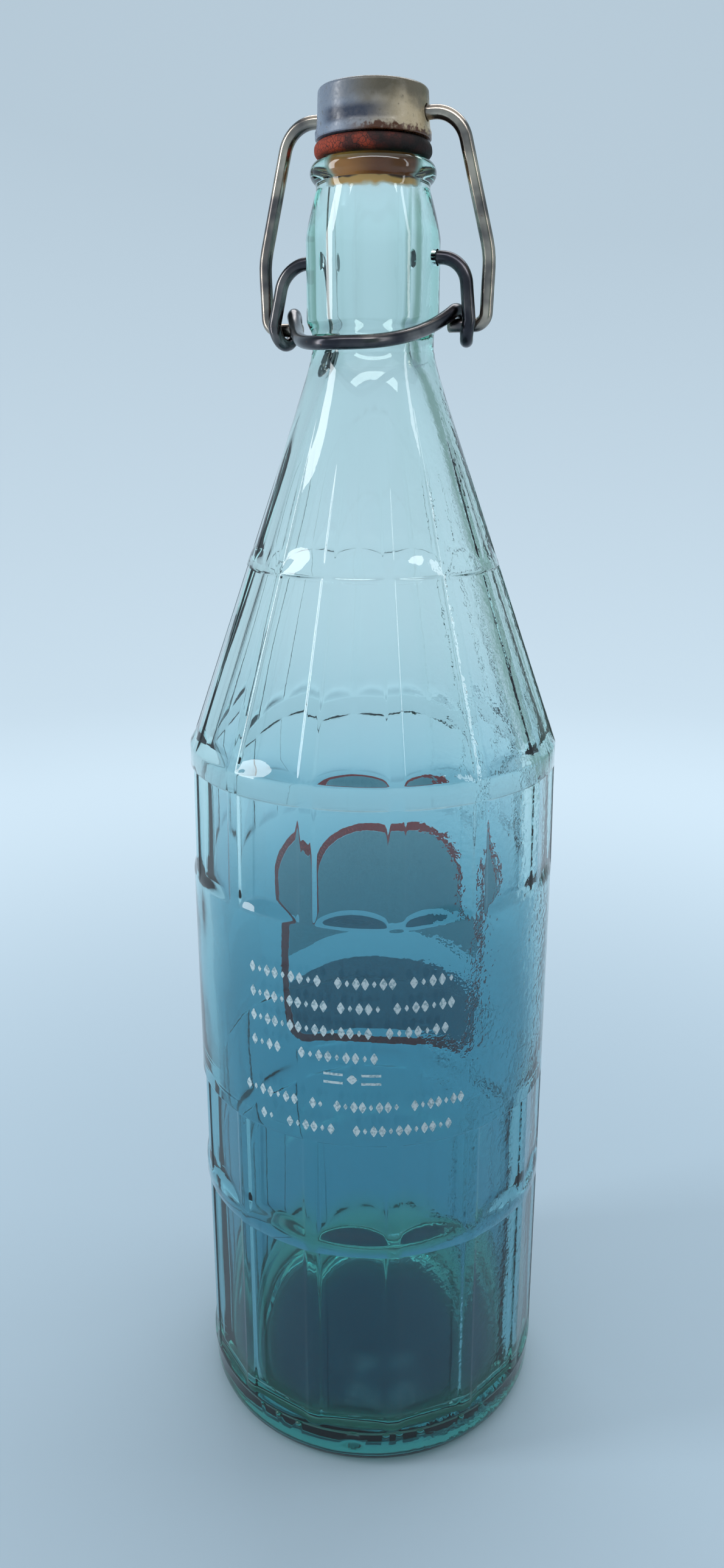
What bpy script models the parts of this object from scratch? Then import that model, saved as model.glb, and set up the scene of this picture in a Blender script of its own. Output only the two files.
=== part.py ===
"""Faceted glass soda bottle with a swing stopper, in metres with +Z up.

The origin is the middle of the ring that the bottle stands on. The wires of the
closure turn about lines along X, and the lever's bow faces -Y when it is shut.
"""

import math

import bmesh
import bpy
from mathutils import Vector

# Fits between pieces
SEAT_GAP = 0.0003
WIRE_FIT = 0.0003
CUT_OVERRUN = 0.002

# Glass, plan of the panelled walls
PANEL_COUNT = 14
COLUMNS_PER_PANEL = 5
PANEL_DEPTH_SHARE = 0.0235
FOOT_LEDGE = 0.0034
HEAD_LEDGE = 0.0005

# Glass, radii of the outer wall
BODY_RADIUS = 0.0440
SHOULDER_RADIUS = 0.0436
CONE_TOP_RADIUS = 0.0176
THROAT_RADIUS = 0.0133
COLLAR_RADIUS = 0.0144
GROOVE_RADIUS = 0.0120
LIP_RADIUS = 0.01335

# Glass, heights of its zones from the table up
HEEL_HEIGHT = 0.0117
FOOT_TIER_HEIGHT = 0.0509
FOOT_BAND_HEIGHT = 0.0040
HIP_TIER_HEIGHT = 0.0261
LABEL_HEIGHT = 0.0536
CHEST_TIER_HEIGHT = 0.0264
SHOULDER_BAND_HEIGHT = 0.0049
LOWER_CONE_HEIGHT = 0.0410
CONE_BAND_HEIGHT = 0.0018
UPPER_CONE_HEIGHT = 0.0302
FLARE_HEIGHT = 0.0132
THROAT_HEIGHT = 0.0036
COLLAR_FOOT_HEIGHT = 0.0032
COLLAR_HEIGHT = 0.0160
TAPER_HEIGHT = 0.0099
LIP_HEIGHT = 0.0053

# Glass, smaller features of the outer wall
PANEL_FADE_HEIGHT = 0.0180
HEEL_INSET = 0.0043
HEEL_ROUND_HEIGHT = 0.0055
REST_WIDTH = 0.0030
PUNT_HEIGHT = 0.0035
MOULD_STEP = 0.0002
MOULD_STEP_HEIGHT = 0.0004
LIP_ROUND = 0.0024
HEEL_STEPS = 5
FLARE_STEPS = 4
LIP_STEPS = 5
LIP_UNDERCUT_ANGLE = math.radians(60)

# Glass, the hollow inside
WALL = 0.0038
BASE_THICKNESS = 0.0050
BORE_RADIUS = 0.0082
MOUTH_ROUND = 0.0007
INNER_HEEL_RADIUS = 0.0100
INNER_HEEL_STEPS = 3
INNER_FLARE_HEIGHT = 0.0075

# Shapes between two zones, as shares of the zone's height and of its change in radius
FADE_SHARES = ((1 / 3, 0.75), (2 / 3, 0.25))
COLLAR_FOOT_SHARES = ((0.35, 0.30), (0.70, 0.80), (1.0, 1.0))
TAPER_SHARES = ((0.25, 0.17), (0.60, 0.52), (1.0, 1.0))
PUNT_SHARES = ((0.30, 1.0), (0.75, 0.70))

# Round dimple that locates the mould, in the heel below a panel
DIMPLE_RADIUS = 0.0028
DIMPLE_DEPTH = 0.0006
DIMPLE_HEIGHT = 0.0076
DIMPLE_SIDES = 16

# Edges that are steeper than this stay sharp
SHARP_ANGLE = math.radians(32)

# Wires, and how far along one wire two places have to be to count as two stretches
WIRE_RADIUS = 0.0014
WIRE_SIDE_STEPS = 3
BEND_STEP = math.radians(15)
LEAST_BEND_STEPS = 2
STRETCH_APART = 0.0132
MM_PER_METRE = 1000

# Lever: its tips turn in two recesses of the collar
LEVER_PIVOT_RISE = 0.0121
RECESS_DEPTH = 0.0022
RECESS_SIDES = 16
LEG_CORNER_SPREAD = 0.0203
LEG_FOOT_SPREAD = 0.0222
LEG_BEND_RADIUS = 0.0063
EYE_DROP = 0.0135
EYE_SETBACK = 0.0005
EYE_SHIFT = 0.0040
EYE_STEPS = 18
EYE_TURN = math.radians(270)
BOW_REACH = 0.0237
BOW_DROP = 0.0178
BOW_LEAVING_ANGLE = math.radians(34)
BOW_TURN_IN_SHARE = 0.45
BOW_SIDE_HANDLE = 0.0125
BOW_FRONT_HANDLE = 0.0085
BOW_STEPS = 14

# Bail: from one eye of the lever, through the stopper, to the other eye
CROSSBAR_RISE = 0.0045
BAIL_TOP_SPREAD = 0.01865
BAIL_ELBOW_SPREAD = 0.0255
BAIL_FOOT_SPREAD = 0.0250
BAIL_PIN_REACH = 0.0081
BAIL_ELBOW_DROP = 0.0271
BAIL_TOP_BEND_RADIUS = 0.0070
BAIL_ELBOW_BEND_RADIUS = 0.0180
BAIL_FOOT_BEND_RADIUS = 0.0025

# Washer
WASHER_RADIUS = 0.0124
WASHER_THICKNESS = 0.0032
WASHER_ROUND = 0.0010

# Stopper
STOPPER_TOP_RADIUS = 0.01155
STOPPER_WAIST_RADIUS = 0.0118
STOPPER_FLANGE_RADIUS = 0.0122
STOPPER_HEIGHT = 0.0096
STOPPER_FLANGE_HEIGHT = 0.0014
STOPPER_EDGE_ROUND = 0.0008
SPIGOT_RADIUS = 0.0062
SPIGOT_BEAD_RADIUS = 0.0071
SPIGOT_NOSE_RADIUS = 0.0054
SPIGOT_BEAD_HEIGHT = 0.0048
TURNED_COLUMNS = 36
ROUND_STEPS = 3
BORE_SIDES = 20

# Places that follow from the sizes above
COLUMN_COUNT = PANEL_COUNT * COLUMNS_PER_PANEL
COLUMN_ANGLE = math.tau / COLUMN_COUNT
NECK_COLUMN_STEP = 2
REST_RADIUS = BODY_RADIUS - HEEL_INSET
EYE_RADIUS = 2 * WIRE_RADIUS + WIRE_FIT
FOOT_TIER_TOP = HEEL_HEIGHT + FOOT_TIER_HEIGHT
HIP_TIER_FOOT = FOOT_TIER_TOP + FOOT_BAND_HEIGHT
LABEL_FOOT = HIP_TIER_FOOT + HIP_TIER_HEIGHT
LABEL_TOP = LABEL_FOOT + LABEL_HEIGHT
CHEST_TIER_TOP = LABEL_TOP + CHEST_TIER_HEIGHT
CONE_FOOT = CHEST_TIER_TOP + SHOULDER_BAND_HEIGHT
LOWER_CONE_TOP = CONE_FOOT + LOWER_CONE_HEIGHT
UPPER_CONE_FOOT = LOWER_CONE_TOP + CONE_BAND_HEIGHT
CONE_TOP = UPPER_CONE_FOOT + UPPER_CONE_HEIGHT
CONE_SLOPE = (SHOULDER_RADIUS - CONE_TOP_RADIUS) / (CONE_TOP - CONE_FOOT)
THROAT_FOOT = CONE_TOP + FLARE_HEIGHT
THROAT_TOP = THROAT_FOOT + THROAT_HEIGHT
COLLAR_FOOT = THROAT_TOP + COLLAR_FOOT_HEIGHT
COLLAR_TOP = COLLAR_FOOT + COLLAR_HEIGHT
GROOVE_HEIGHT = COLLAR_TOP + TAPER_HEIGHT
LIP_TOP = GROOVE_HEIGHT + LIP_HEIGHT
WASHER_FOOT = LIP_TOP + SEAT_GAP
STOPPER_FOOT = WASHER_FOOT + WASHER_THICKNESS + SEAT_GAP
STOPPER_TOP = STOPPER_FOOT + STOPPER_HEIGHT
LEVER_PIVOT = Vector((0, 0, COLLAR_FOOT + LEVER_PIVOT_RISE))
EYE_CENTRE = LEVER_PIVOT + Vector((0, EYE_SETBACK, -EYE_DROP))
CROSSBAR = Vector((0, 0, STOPPER_FOOT + CROSSBAR_RISE))


def clear_scene():
    """Remove every object that the file starts with."""
    for old in list(bpy.data.objects):
        bpy.data.objects.remove(old, do_unlink=True)


def make_material(name, colour, roughness, metallic=0.0, transmission=0.0):
    """Return a Principled material; the colour is linear red, green and blue."""
    material = bpy.data.materials.new(name)
    material.use_nodes = True
    shader = material.node_tree.nodes["Principled BSDF"]
    shader.inputs["Base Color"].default_value = (*colour, 1.0)
    shader.inputs["Roughness"].default_value = roughness
    shader.inputs["Metallic"].default_value = metallic
    shader.inputs["Transmission Weight"].default_value = transmission
    return material


def mix(start, end, share):
    """Return the value that lies the given share of the way from start to end."""
    return start + (end - start) * share


def place(piece, origin, parent=None):
    """Put a piece's origin at a world point, under a parent that isn't turned."""
    piece.parent = parent
    piece.location = origin - (parent.matrix_world.translation if parent else Vector())
    bpy.context.view_layer.update()


def add_object(name, data, material=None):
    """Link a new object with the given data and material to the scene."""
    piece = bpy.data.objects.new(name, data)
    if material:
        data.materials.append(material)
    bpy.context.scene.collection.objects.link(piece)
    return piece


def join_rings(bm, lower, upper):
    """Add the wall between two rings, of which one may have half the points."""
    if len(lower) == len(upper):
        for i, point in enumerate(lower):
            j = (i + 1) % len(lower)
            bm.faces.new((point, lower[j], upper[j], upper[i]))
        return
    fine, coarse = (lower, upper) if len(lower) > len(upper) else (upper, lower)
    for i, point in enumerate(coarse):
        j = (i + 1) % len(coarse)
        first, middle, last = fine[2 * i], fine[2 * i + 1], fine[(2 * i + 2) % len(fine)]
        bm.faces.new((first, middle, point))
        bm.faces.new((middle, last, coarse[j]))
        bm.faces.new((middle, coarse[j], point))


def loft(name, rings, origin, closed=False):
    """Return a smooth closed mesh through rings of points.

    The first and last rings are capped, or joined to each other if closed is set.
    """
    bm = bmesh.new()
    loops = [[bm.verts.new(point - origin) for point in ring] for ring in rings]
    for lower, upper in zip(loops, loops[1:]):
        join_rings(bm, lower, upper)
    if closed:
        join_rings(bm, loops[-1], loops[0])
    else:
        bm.faces.new(loops[0])
        bm.faces.new(loops[-1])
    bmesh.ops.recalc_face_normals(bm, faces=bm.faces)
    mesh = bpy.data.meshes.new(name)
    bm.to_mesh(mesh)
    bm.free()
    mesh.shade_smooth()
    mesh.set_sharp_from_angle(angle=SHARP_ANGLE)
    return mesh


def circle(radius, height, columns):
    """Return a level ring of points around the Z axis."""
    angles = [math.tau * i / columns for i in range(columns)]
    return [Vector((radius * math.sin(a), -radius * math.cos(a), height)) for a in angles]


def arc(centre_radius, centre_height, radius, start, end, steps):
    """Return (radius, height) points of an arc in the turning plane, both ends in."""
    angles = [mix(start, end, i / steps) for i in range(steps + 1)]
    return [
        (centre_radius + radius * math.cos(a), centre_height + radius * math.sin(a))
        for a in angles
    ]


def cylinder_cutter(name, start, end, radius, sides):
    """Return a hidden cylinder between two points, for a Boolean to cut with."""
    span = end - start
    bm = bmesh.new()
    bmesh.ops.create_cone(
        bm, cap_ends=True, segments=sides, radius1=radius, radius2=radius, depth=span.length
    )
    mesh = bpy.data.meshes.new(name)
    bm.to_mesh(mesh)
    bm.free()
    cutter = add_object(name, mesh)
    cutter.rotation_mode = "QUATERNION"
    cutter.rotation_quaternion = span.to_track_quat("Z", "Y")
    cutter.location = (start + end) / 2
    cutter.hide_render = True
    cutter.display_type = "WIRE"
    return cutter


def cut(piece, cutters):
    """Take the cutters out of a piece with Boolean modifiers."""
    for cutter in cutters:
        modifier = piece.modifiers.new("cut_" + cutter.name, "BOOLEAN")
        modifier.operation = "DIFFERENCE"
        modifier.solver = "EXACT"
        modifier.object = cutter


# Glass


def nominal_radius(height):
    """Return the radius of the round outer wall between the heel and the cone's top."""
    stations = (
        (HEEL_HEIGHT, BODY_RADIUS),
        (LABEL_TOP, BODY_RADIUS),
        (CHEST_TIER_TOP, SHOULDER_RADIUS),
        (CONE_FOOT, SHOULDER_RADIUS),
        (CONE_TOP, CONE_TOP_RADIUS),
    )
    for (low, low_radius), (high, high_radius) in zip(stations, stations[1:]):
        if height <= high:
            return mix(low_radius, high_radius, (height - low) / (high - low))
    return CONE_TOP_RADIUS


def panel_depth_share(column):
    """Return how far a flat panel lies inside the round wall at a column.

    The panel's middle is the deepest place. Its first and last columns are the
    sides of the ribs that stand between the panels.
    """
    middle = (COLUMNS_PER_PANEL - 1) / 2
    offset = (column % COLUMNS_PER_PANEL - middle) * COLUMN_ANGLE
    return 1 - (1 - PANEL_DEPTH_SHARE) / math.cos(offset)


def wall_ring(height, cut_share=0.0, ledge=0.0):
    """Return a ring of the panelled wall.

    cut_share goes from 0, round, to 1, flat panels. The ledge is how far the ring
    stands above the given height where a panel is deepest.
    """
    ring = []
    for column in range(COLUMN_COUNT):
        depth = panel_depth_share(column)
        z = height + ledge * depth / PANEL_DEPTH_SHARE
        radius = nominal_radius(z) * (1 - cut_share * depth)
        angle = (column + 1 / 2) * COLUMN_ANGLE
        ring.append(Vector((radius * math.sin(angle), -radius * math.cos(angle), z)))
    return ring


def neck_ring(radius, height):
    """Return a round ring on every second column of the wall."""
    columns = range(0, COLUMN_COUNT, NECK_COLUMN_STEP)
    angles = [(column + 1 / 2) * COLUMN_ANGLE for column in columns]
    return [Vector((radius * math.sin(a), -radius * math.cos(a), height)) for a in angles]


def tier(foot, top):
    """Return the rings of a tier of panels, with a sloped foot and a crisp head."""
    return [
        wall_ring(foot),
        wall_ring(foot, 1.0, FOOT_LEDGE),
        wall_ring(top, 1.0, -HEAD_LEDGE),
        wall_ring(top),
    ]


def fading_tier(foot, top):
    """Return the rings of a tier whose panels fade out towards its top."""
    rings = [
        wall_ring(foot),
        wall_ring(foot, 1.0, FOOT_LEDGE),
        wall_ring(top - PANEL_FADE_HEIGHT, 1.0),
    ]
    for rise_share, cut_share in FADE_SHARES:
        rings.append(wall_ring(mix(top - PANEL_FADE_HEIGHT, top, rise_share), cut_share))
    return rings


def base_rings():
    """Return the rings of the underside and the round heel."""
    inner_rest = REST_RADIUS - REST_WIDTH
    rings = [
        neck_ring(inner_rest * radius_share, PUNT_HEIGHT * rise_share)
        for radius_share, rise_share in PUNT_SHARES
    ]
    rings += [neck_ring(inner_rest, 0), neck_ring(REST_RADIUS, 0)]
    for step in range(1, HEEL_STEPS + 1):
        angle = math.pi / 2 * step / HEEL_STEPS
        scale = (REST_RADIUS + HEEL_INSET * math.sin(angle)) / BODY_RADIUS
        height = HEEL_ROUND_HEIGHT * (1 - math.cos(angle))
        ring = [Vector((p.x * scale, p.y * scale, height)) for p in wall_ring(HEEL_HEIGHT)]
        rings.append(ring)
    return rings


def flare_rings():
    """Return the rings of the curve from the cone into the throat."""
    foot_radius = THROAT_RADIUS + MOULD_STEP
    knee = CONE_TOP + (CONE_TOP_RADIUS - foot_radius) / CONE_SLOPE
    rings = []
    for step in range(FLARE_STEPS + 1):
        t = step / FLARE_STEPS
        radius = mix(mix(CONE_TOP_RADIUS, foot_radius, t), foot_radius, t)
        height = mix(mix(CONE_TOP, knee, t), mix(knee, THROAT_FOOT, t), t)
        rings.append(neck_ring(radius, height))
    rings.append(neck_ring(THROAT_RADIUS, THROAT_FOOT + MOULD_STEP_HEIGHT))
    return rings


def finish_rings():
    """Return the rings of the throat, the collar, its taper and the lip."""
    rings = [neck_ring(THROAT_RADIUS, THROAT_TOP)]
    for rise_share, radius_share in COLLAR_FOOT_SHARES:
        radius = mix(THROAT_RADIUS, COLLAR_RADIUS, radius_share)
        rings.append(neck_ring(radius, mix(THROAT_TOP, COLLAR_FOOT, rise_share)))
    rings.append(neck_ring(COLLAR_RADIUS, COLLAR_TOP))
    for rise_share, radius_share in TAPER_SHARES:
        radius = mix(COLLAR_RADIUS, GROOVE_RADIUS, radius_share)
        rings.append(neck_ring(radius, mix(COLLAR_TOP, GROOVE_HEIGHT, rise_share)))
    lip = arc(
        LIP_RADIUS - LIP_ROUND,
        LIP_TOP - LIP_ROUND,
        LIP_ROUND,
        -LIP_UNDERCUT_ANGLE,
        math.pi / 2,
        LIP_STEPS,
    )
    rings += [neck_ring(radius, height) for radius, height in lip]
    return rings


def hollow_rings():
    """Return the rings of the bore and the inside, from the mouth down."""
    body_radius = BODY_RADIUS - WALL
    cone_wall = WALL * math.hypot(1, CONE_SLOPE)
    cone_foot_radius = SHOULDER_RADIUS - cone_wall
    cone_top_radius = CONE_TOP_RADIUS - cone_wall
    flare_radius = mix(cone_top_radius, BORE_RADIUS, 1 / 2)
    floor = BASE_THICKNESS + INNER_HEEL_RADIUS
    inner_heel = arc(
        body_radius - INNER_HEEL_RADIUS, floor, INNER_HEEL_RADIUS, 0, -math.pi / 2, INNER_HEEL_STEPS
    )
    profile = [
        (BORE_RADIUS + MOUTH_ROUND, LIP_TOP),
        (BORE_RADIUS, LIP_TOP - MOUTH_ROUND),
        (BORE_RADIUS, THROAT_FOOT),
        (flare_radius, CONE_TOP + INNER_FLARE_HEIGHT),
        (cone_top_radius, CONE_TOP),
        (cone_foot_radius, CONE_FOOT),
        (SHOULDER_RADIUS - WALL, CHEST_TIER_TOP),
        (body_radius, LABEL_TOP),
        *inner_heel,
        (body_radius * PUNT_SHARES[0][0], BASE_THICKNESS + PUNT_HEIGHT),
    ]
    return [neck_ring(radius, height) for radius, height in profile]


def recess_cutter(name, side):
    """Return the cutter of the blind recess in one side of the collar."""
    start = LEVER_PIVOT + Vector((side * (COLLAR_RADIUS - RECESS_DEPTH), 0, 0))
    end = LEVER_PIVOT + Vector((side * (COLLAR_RADIUS + CUT_OVERRUN), 0, 0))
    return cylinder_cutter(name, start, end, WIRE_RADIUS + WIRE_FIT, RECESS_SIDES)


def dimple_cutter():
    """Return the cutter of the dimple, in the heel below the panel beside the front."""
    angle = COLUMNS_PER_PANEL * COLUMN_ANGLE / 2
    outward = Vector((math.sin(angle), -math.cos(angle), 0))
    surface = outward * BODY_RADIUS + Vector((0, 0, DIMPLE_HEIGHT))
    start = surface - outward * DIMPLE_DEPTH
    end = surface + outward * CUT_OVERRUN
    return cylinder_cutter("dimple_cutter", start, end, DIMPLE_RADIUS, DIMPLE_SIDES)


def build_bottle(material):
    """Build the glass bottle, standing on the origin."""
    rings = base_rings()
    rings += tier(HEEL_HEIGHT, FOOT_TIER_TOP)
    rings += tier(HIP_TIER_FOOT, LABEL_FOOT)
    rings += tier(LABEL_TOP, CHEST_TIER_TOP)
    rings += tier(CONE_FOOT, LOWER_CONE_TOP)
    rings += fading_tier(UPPER_CONE_FOOT, CONE_TOP)
    rings += flare_rings()
    rings += finish_rings()
    rings += hollow_rings()
    bottle = add_object("bottle_glass", loft("bottle_glass", rings, Vector()), material)
    cut(bottle, [recess_cutter("recess_right", 1), recess_cutter("recess_left", -1), dimple_cutter()])
    return bottle


# Wires


def rounded_path(corners, radii):
    """Return points along straight runs whose inner corners are bent to the radii."""
    path = [corners[0]]
    for before, corner, after, radius in zip(corners, corners[1:], corners[2:], radii):
        back = (before - corner).normalized()
        ahead = (after - corner).normalized()
        half_angle = back.angle(ahead) / 2
        centre = corner + (back + ahead).normalized() * radius / math.sin(half_angle)
        first = corner + back * radius / math.tan(half_angle) - centre
        last = corner + ahead * radius / math.tan(half_angle) - centre
        bend = math.pi - 2 * half_angle
        steps = max(LEAST_BEND_STEPS, math.ceil(bend / BEND_STEP))
        for i in range(steps + 1):
            turned = bend * i / steps
            path.append(
                centre + (first * math.sin(bend - turned) + last * math.sin(turned)) / math.sin(bend)
            )
    path.append(corners[-1])
    return path


def mirrored(half):
    """Return a half path that ends on X = 0 and goes on as its mirror image."""
    return half + [Vector((-p.x, p.y, p.z)) for p in reversed(half[:-1])]


def eye_point(angle, spread):
    """Return a point of the lever's eye, counted from its front and down."""
    return EYE_CENTRE + Vector((spread, -EYE_RADIUS * math.cos(angle), -EYE_RADIUS * math.sin(angle)))


def lever_path():
    """Return the lever's centre line, from one tip over both eyes to the other tip."""
    leg_length = math.hypot(EYE_SETBACK, EYE_DROP)
    first = math.atan2(EYE_SETBACK, EYE_DROP) - math.asin(EYE_RADIUS / leg_length)
    last = EYE_TURN + BOW_LEAVING_ANGLE
    tip = LEVER_PIVOT + Vector((COLLAR_RADIUS - RECESS_DEPTH + WIRE_FIT, 0, 0))
    corner = LEVER_PIVOT + Vector((LEG_CORNER_SPREAD, 0, 0))
    half = rounded_path([tip, corner, eye_point(first, LEG_FOOT_SPREAD)], [LEG_BEND_RADIUS])
    for step in range(1, EYE_STEPS + 1):
        share = step / EYE_STEPS
        half.append(eye_point(mix(first, last, share), LEG_FOOT_SPREAD - EYE_SHIFT * share))
    start = half[-1]
    apex = LEVER_PIVOT + Vector((0, -BOW_REACH, -BOW_DROP))
    leaving = Vector(
        (-BOW_TURN_IN_SHARE, -math.cos(BOW_LEAVING_ANGLE), -math.sin(BOW_LEAVING_ANGLE))
    ).normalized()
    side_handle = start + leaving * BOW_SIDE_HANDLE
    front_handle = apex + Vector((BOW_FRONT_HANDLE, 0, 0))
    for step in range(1, BOW_STEPS + 1):
        t = step / BOW_STEPS
        near = mix(mix(start, side_handle, t), mix(side_handle, front_handle, t), t)
        far = mix(mix(side_handle, front_handle, t), mix(front_handle, apex, t), t)
        half.append(mix(near, far, t))
    return mirrored(half)


def bail_path():
    """Return the bail's centre line, from one pin over the crossbar to the other pin."""
    corners = [
        EYE_CENTRE + Vector((BAIL_FOOT_SPREAD - BAIL_PIN_REACH, 0, 0)),
        EYE_CENTRE + Vector((BAIL_FOOT_SPREAD, 0, 0)),
        CROSSBAR + Vector((BAIL_ELBOW_SPREAD, EYE_SETBACK, -BAIL_ELBOW_DROP)),
        CROSSBAR + Vector((BAIL_TOP_SPREAD, 0, 0)),
        CROSSBAR,
    ]
    bends = [BAIL_FOOT_BEND_RADIUS, BAIL_ELBOW_BEND_RADIUS, BAIL_TOP_BEND_RADIUS]
    return mirrored(rounded_path(corners, bends))


def least_self_gap(path):
    """Return the least gap between two stretches of one wire."""
    lengths = [0.0]
    for start, end in zip(path, path[1:]):
        lengths.append(lengths[-1] + (end - start).length)
    gaps = [
        (p - q).length
        for i, p in enumerate(path)
        for j, q in enumerate(path[:i])
        if lengths[i] - lengths[j] > STRETCH_APART
    ]
    return min(gaps) - 2 * WIRE_RADIUS


def wire(name, path, origin, material, parent):
    """Build a round wire along a path, with its origin on its hinge's line."""
    curve = bpy.data.curves.new(name, "CURVE")
    curve.dimensions = "3D"
    curve.bevel_depth = WIRE_RADIUS
    curve.bevel_resolution = WIRE_SIDE_STEPS
    curve.use_fill_caps = True
    spline = curve.splines.new("POLY")
    spline.points.add(len(path) - 1)
    for point, place_on_path in zip(spline.points, path):
        point.co = (*(place_on_path - origin), 1.0)
    piece = add_object(name, curve, material)
    place(piece, origin, parent)
    return piece


# Stopper


def build_stopper(material, parent):
    """Build the stopper with the spigot that holds its washer, bored for the crossbar."""
    edge = arc(
        STOPPER_TOP_RADIUS - STOPPER_EDGE_ROUND,
        STOPPER_TOP - STOPPER_EDGE_ROUND,
        STOPPER_EDGE_ROUND,
        math.pi / 2,
        0,
        ROUND_STEPS,
    )
    bead_top = WASHER_FOOT - SEAT_GAP
    profile = [
        *edge,
        (STOPPER_WAIST_RADIUS, STOPPER_FOOT + 2 * STOPPER_FLANGE_HEIGHT),
        (STOPPER_FLANGE_RADIUS, STOPPER_FOOT + STOPPER_FLANGE_HEIGHT),
        (STOPPER_FLANGE_RADIUS, STOPPER_FOOT),
        (SPIGOT_RADIUS, STOPPER_FOOT),
        (SPIGOT_RADIUS, bead_top),
        (SPIGOT_BEAD_RADIUS, bead_top - (SPIGOT_BEAD_RADIUS - SPIGOT_RADIUS)),
        (SPIGOT_NOSE_RADIUS, bead_top - SPIGOT_BEAD_HEIGHT),
    ]
    rings = [circle(radius, height, TURNED_COLUMNS) for radius, height in profile]
    stopper = add_object("stopper", loft("stopper", rings, CROSSBAR), material)
    place(stopper, CROSSBAR, parent)
    reach = Vector((STOPPER_FLANGE_RADIUS + CUT_OVERRUN, 0, 0))
    bore = cylinder_cutter(
        "crossbar_bore", CROSSBAR - reach, CROSSBAR + reach, WIRE_RADIUS + WIRE_FIT, BORE_SIDES
    )
    cut(stopper, [bore])
    return stopper


def build_washer(material, parent):
    """Build the rubber washer round the spigot, with a rounded outer rim."""
    hole = SPIGOT_RADIUS + SEAT_GAP
    top = WASHER_FOOT + WASHER_THICKNESS
    rim = WASHER_RADIUS - WASHER_ROUND
    profile = [
        (hole, WASHER_FOOT),
        *arc(rim, WASHER_FOOT + WASHER_ROUND, WASHER_ROUND, -math.pi / 2, 0, ROUND_STEPS),
        *arc(rim, top - WASHER_ROUND, WASHER_ROUND, 0, math.pi / 2, ROUND_STEPS),
        (hole, top),
    ]
    rings = [circle(radius, height, TURNED_COLUMNS) for radius, height in profile]
    mesh = loft("sealing_washer", rings, CROSSBAR, closed=True)
    washer = add_object("sealing_washer", mesh, material)
    place(washer, CROSSBAR, parent)
    return washer


def main():
    """Build the whole bottle, shut, with each moving piece under what carries it."""
    clear_scene()
    glass = make_material("aqua_glass", (0.36, 0.66, 0.62), 0.05, transmission=1.0)
    steel = make_material("dark_steel_wire", (0.16, 0.13, 0.12), 0.35, metallic=1.0)
    rubber = make_material("red_brown_rubber", (0.20, 0.035, 0.022), 0.75)
    plastic = make_material("milky_grey_plastic", (0.42, 0.41, 0.40), 0.45)
    bottle = build_bottle(glass)
    lever_line = lever_path()
    self_gap = least_self_gap(lever_line) * MM_PER_METRE
    print(f"least gap of the lever wire to itself: {self_gap:.2f} mm")
    lever = wire("lever_wire", lever_line, LEVER_PIVOT, steel, bottle)
    bail = wire("bail_wire", bail_path(), EYE_CENTRE, steel, lever)
    stopper = build_stopper(plastic, bail)
    build_washer(rubber, stopper)


main()
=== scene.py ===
"""Swing-top soda bottle: finely meshed glass, closure wires, stopper, washer and print.

Lengths are in metres and angles in radians, where a docstring says nothing else.
"""

import logging
import math
from dataclasses import dataclass, field
from enum import Enum
from functools import reduce
from typing import Callable, Sequence, TypeVar

import bmesh
import bpy
from mathutils import Matrix, Quaternion, Vector, noise

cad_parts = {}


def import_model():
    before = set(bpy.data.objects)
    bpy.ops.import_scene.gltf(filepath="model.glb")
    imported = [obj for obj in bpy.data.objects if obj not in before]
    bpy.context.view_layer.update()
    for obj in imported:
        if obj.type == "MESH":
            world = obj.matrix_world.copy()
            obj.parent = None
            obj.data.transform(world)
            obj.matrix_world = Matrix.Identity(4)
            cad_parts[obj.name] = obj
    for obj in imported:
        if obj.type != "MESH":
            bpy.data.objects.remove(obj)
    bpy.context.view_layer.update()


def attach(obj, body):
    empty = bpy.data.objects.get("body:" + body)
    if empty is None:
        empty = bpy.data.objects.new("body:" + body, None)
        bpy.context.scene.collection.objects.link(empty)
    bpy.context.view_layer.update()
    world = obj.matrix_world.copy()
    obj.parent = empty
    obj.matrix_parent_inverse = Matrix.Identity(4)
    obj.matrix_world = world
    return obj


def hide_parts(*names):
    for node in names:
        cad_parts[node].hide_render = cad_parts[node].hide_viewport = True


LOG = logging.getLogger("bottle_scene")
PICTURE_HEIGHT = 2576
MM = 0.001

# Measures that several sub-assemblies share
VIEW_TURN = math.radians(19.5)
LABEL_RADIUS = 0.04384
COLLAR_RADIUS = 0.0144
RECESS_DEPTH = 0.0022
PIVOT_HEIGHT = 0.2827
CROSSBAR_HEIGHT = 0.3101
BACK_MIDDLE = math.radians(193.3)
PRINT_FOOT = LABEL_RADIUS + 0.00002
PRINT_FACE = PRINT_FOOT + 0.00006

# How finely the cutters of carve() are divided
ROD_SIDES = 32
BALL_SIDES, BALL_ROWS = 40, 24

# Where a change in a finish starts and where it is complete, then its two results, if they
# aren't 0 and 1
Change = tuple[float, ...]
Pair = tuple[float, float]
Profile = list[Pair]
Ring = list[Vector]
Socket = bpy.types.NodeSocket
Value = Socket | float | str | tuple
Place = TypeVar("Place", float, Vector)


class Body(str, Enum):
    """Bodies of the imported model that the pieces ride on."""

    BOTTLE = "bottle"
    LEVER = "lever"
    BAIL = "bail"
    STOPPER = "stopper_unit"


class Node(str, Enum):
    """CAD nodes that finer pieces stand for."""

    GLASS = "bottle_glass"
    LEVER = "lever_wire"
    BAIL = "bail_wire"
    STOPPER = "stopper"
    WASHER = "sealing_washer"


class Slot(str, Enum):
    """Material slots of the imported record."""

    GLASS = "aqua_glass"
    STEEL = "steel_wire"
    PLASTIC = "stopper_plastic"
    RUBBER = "washer_rubber"


class Carving(str, Enum):
    """What is done with the cutters of a mesh."""

    CUT = "DIFFERENCE"
    JOIN = "UNION"


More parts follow.
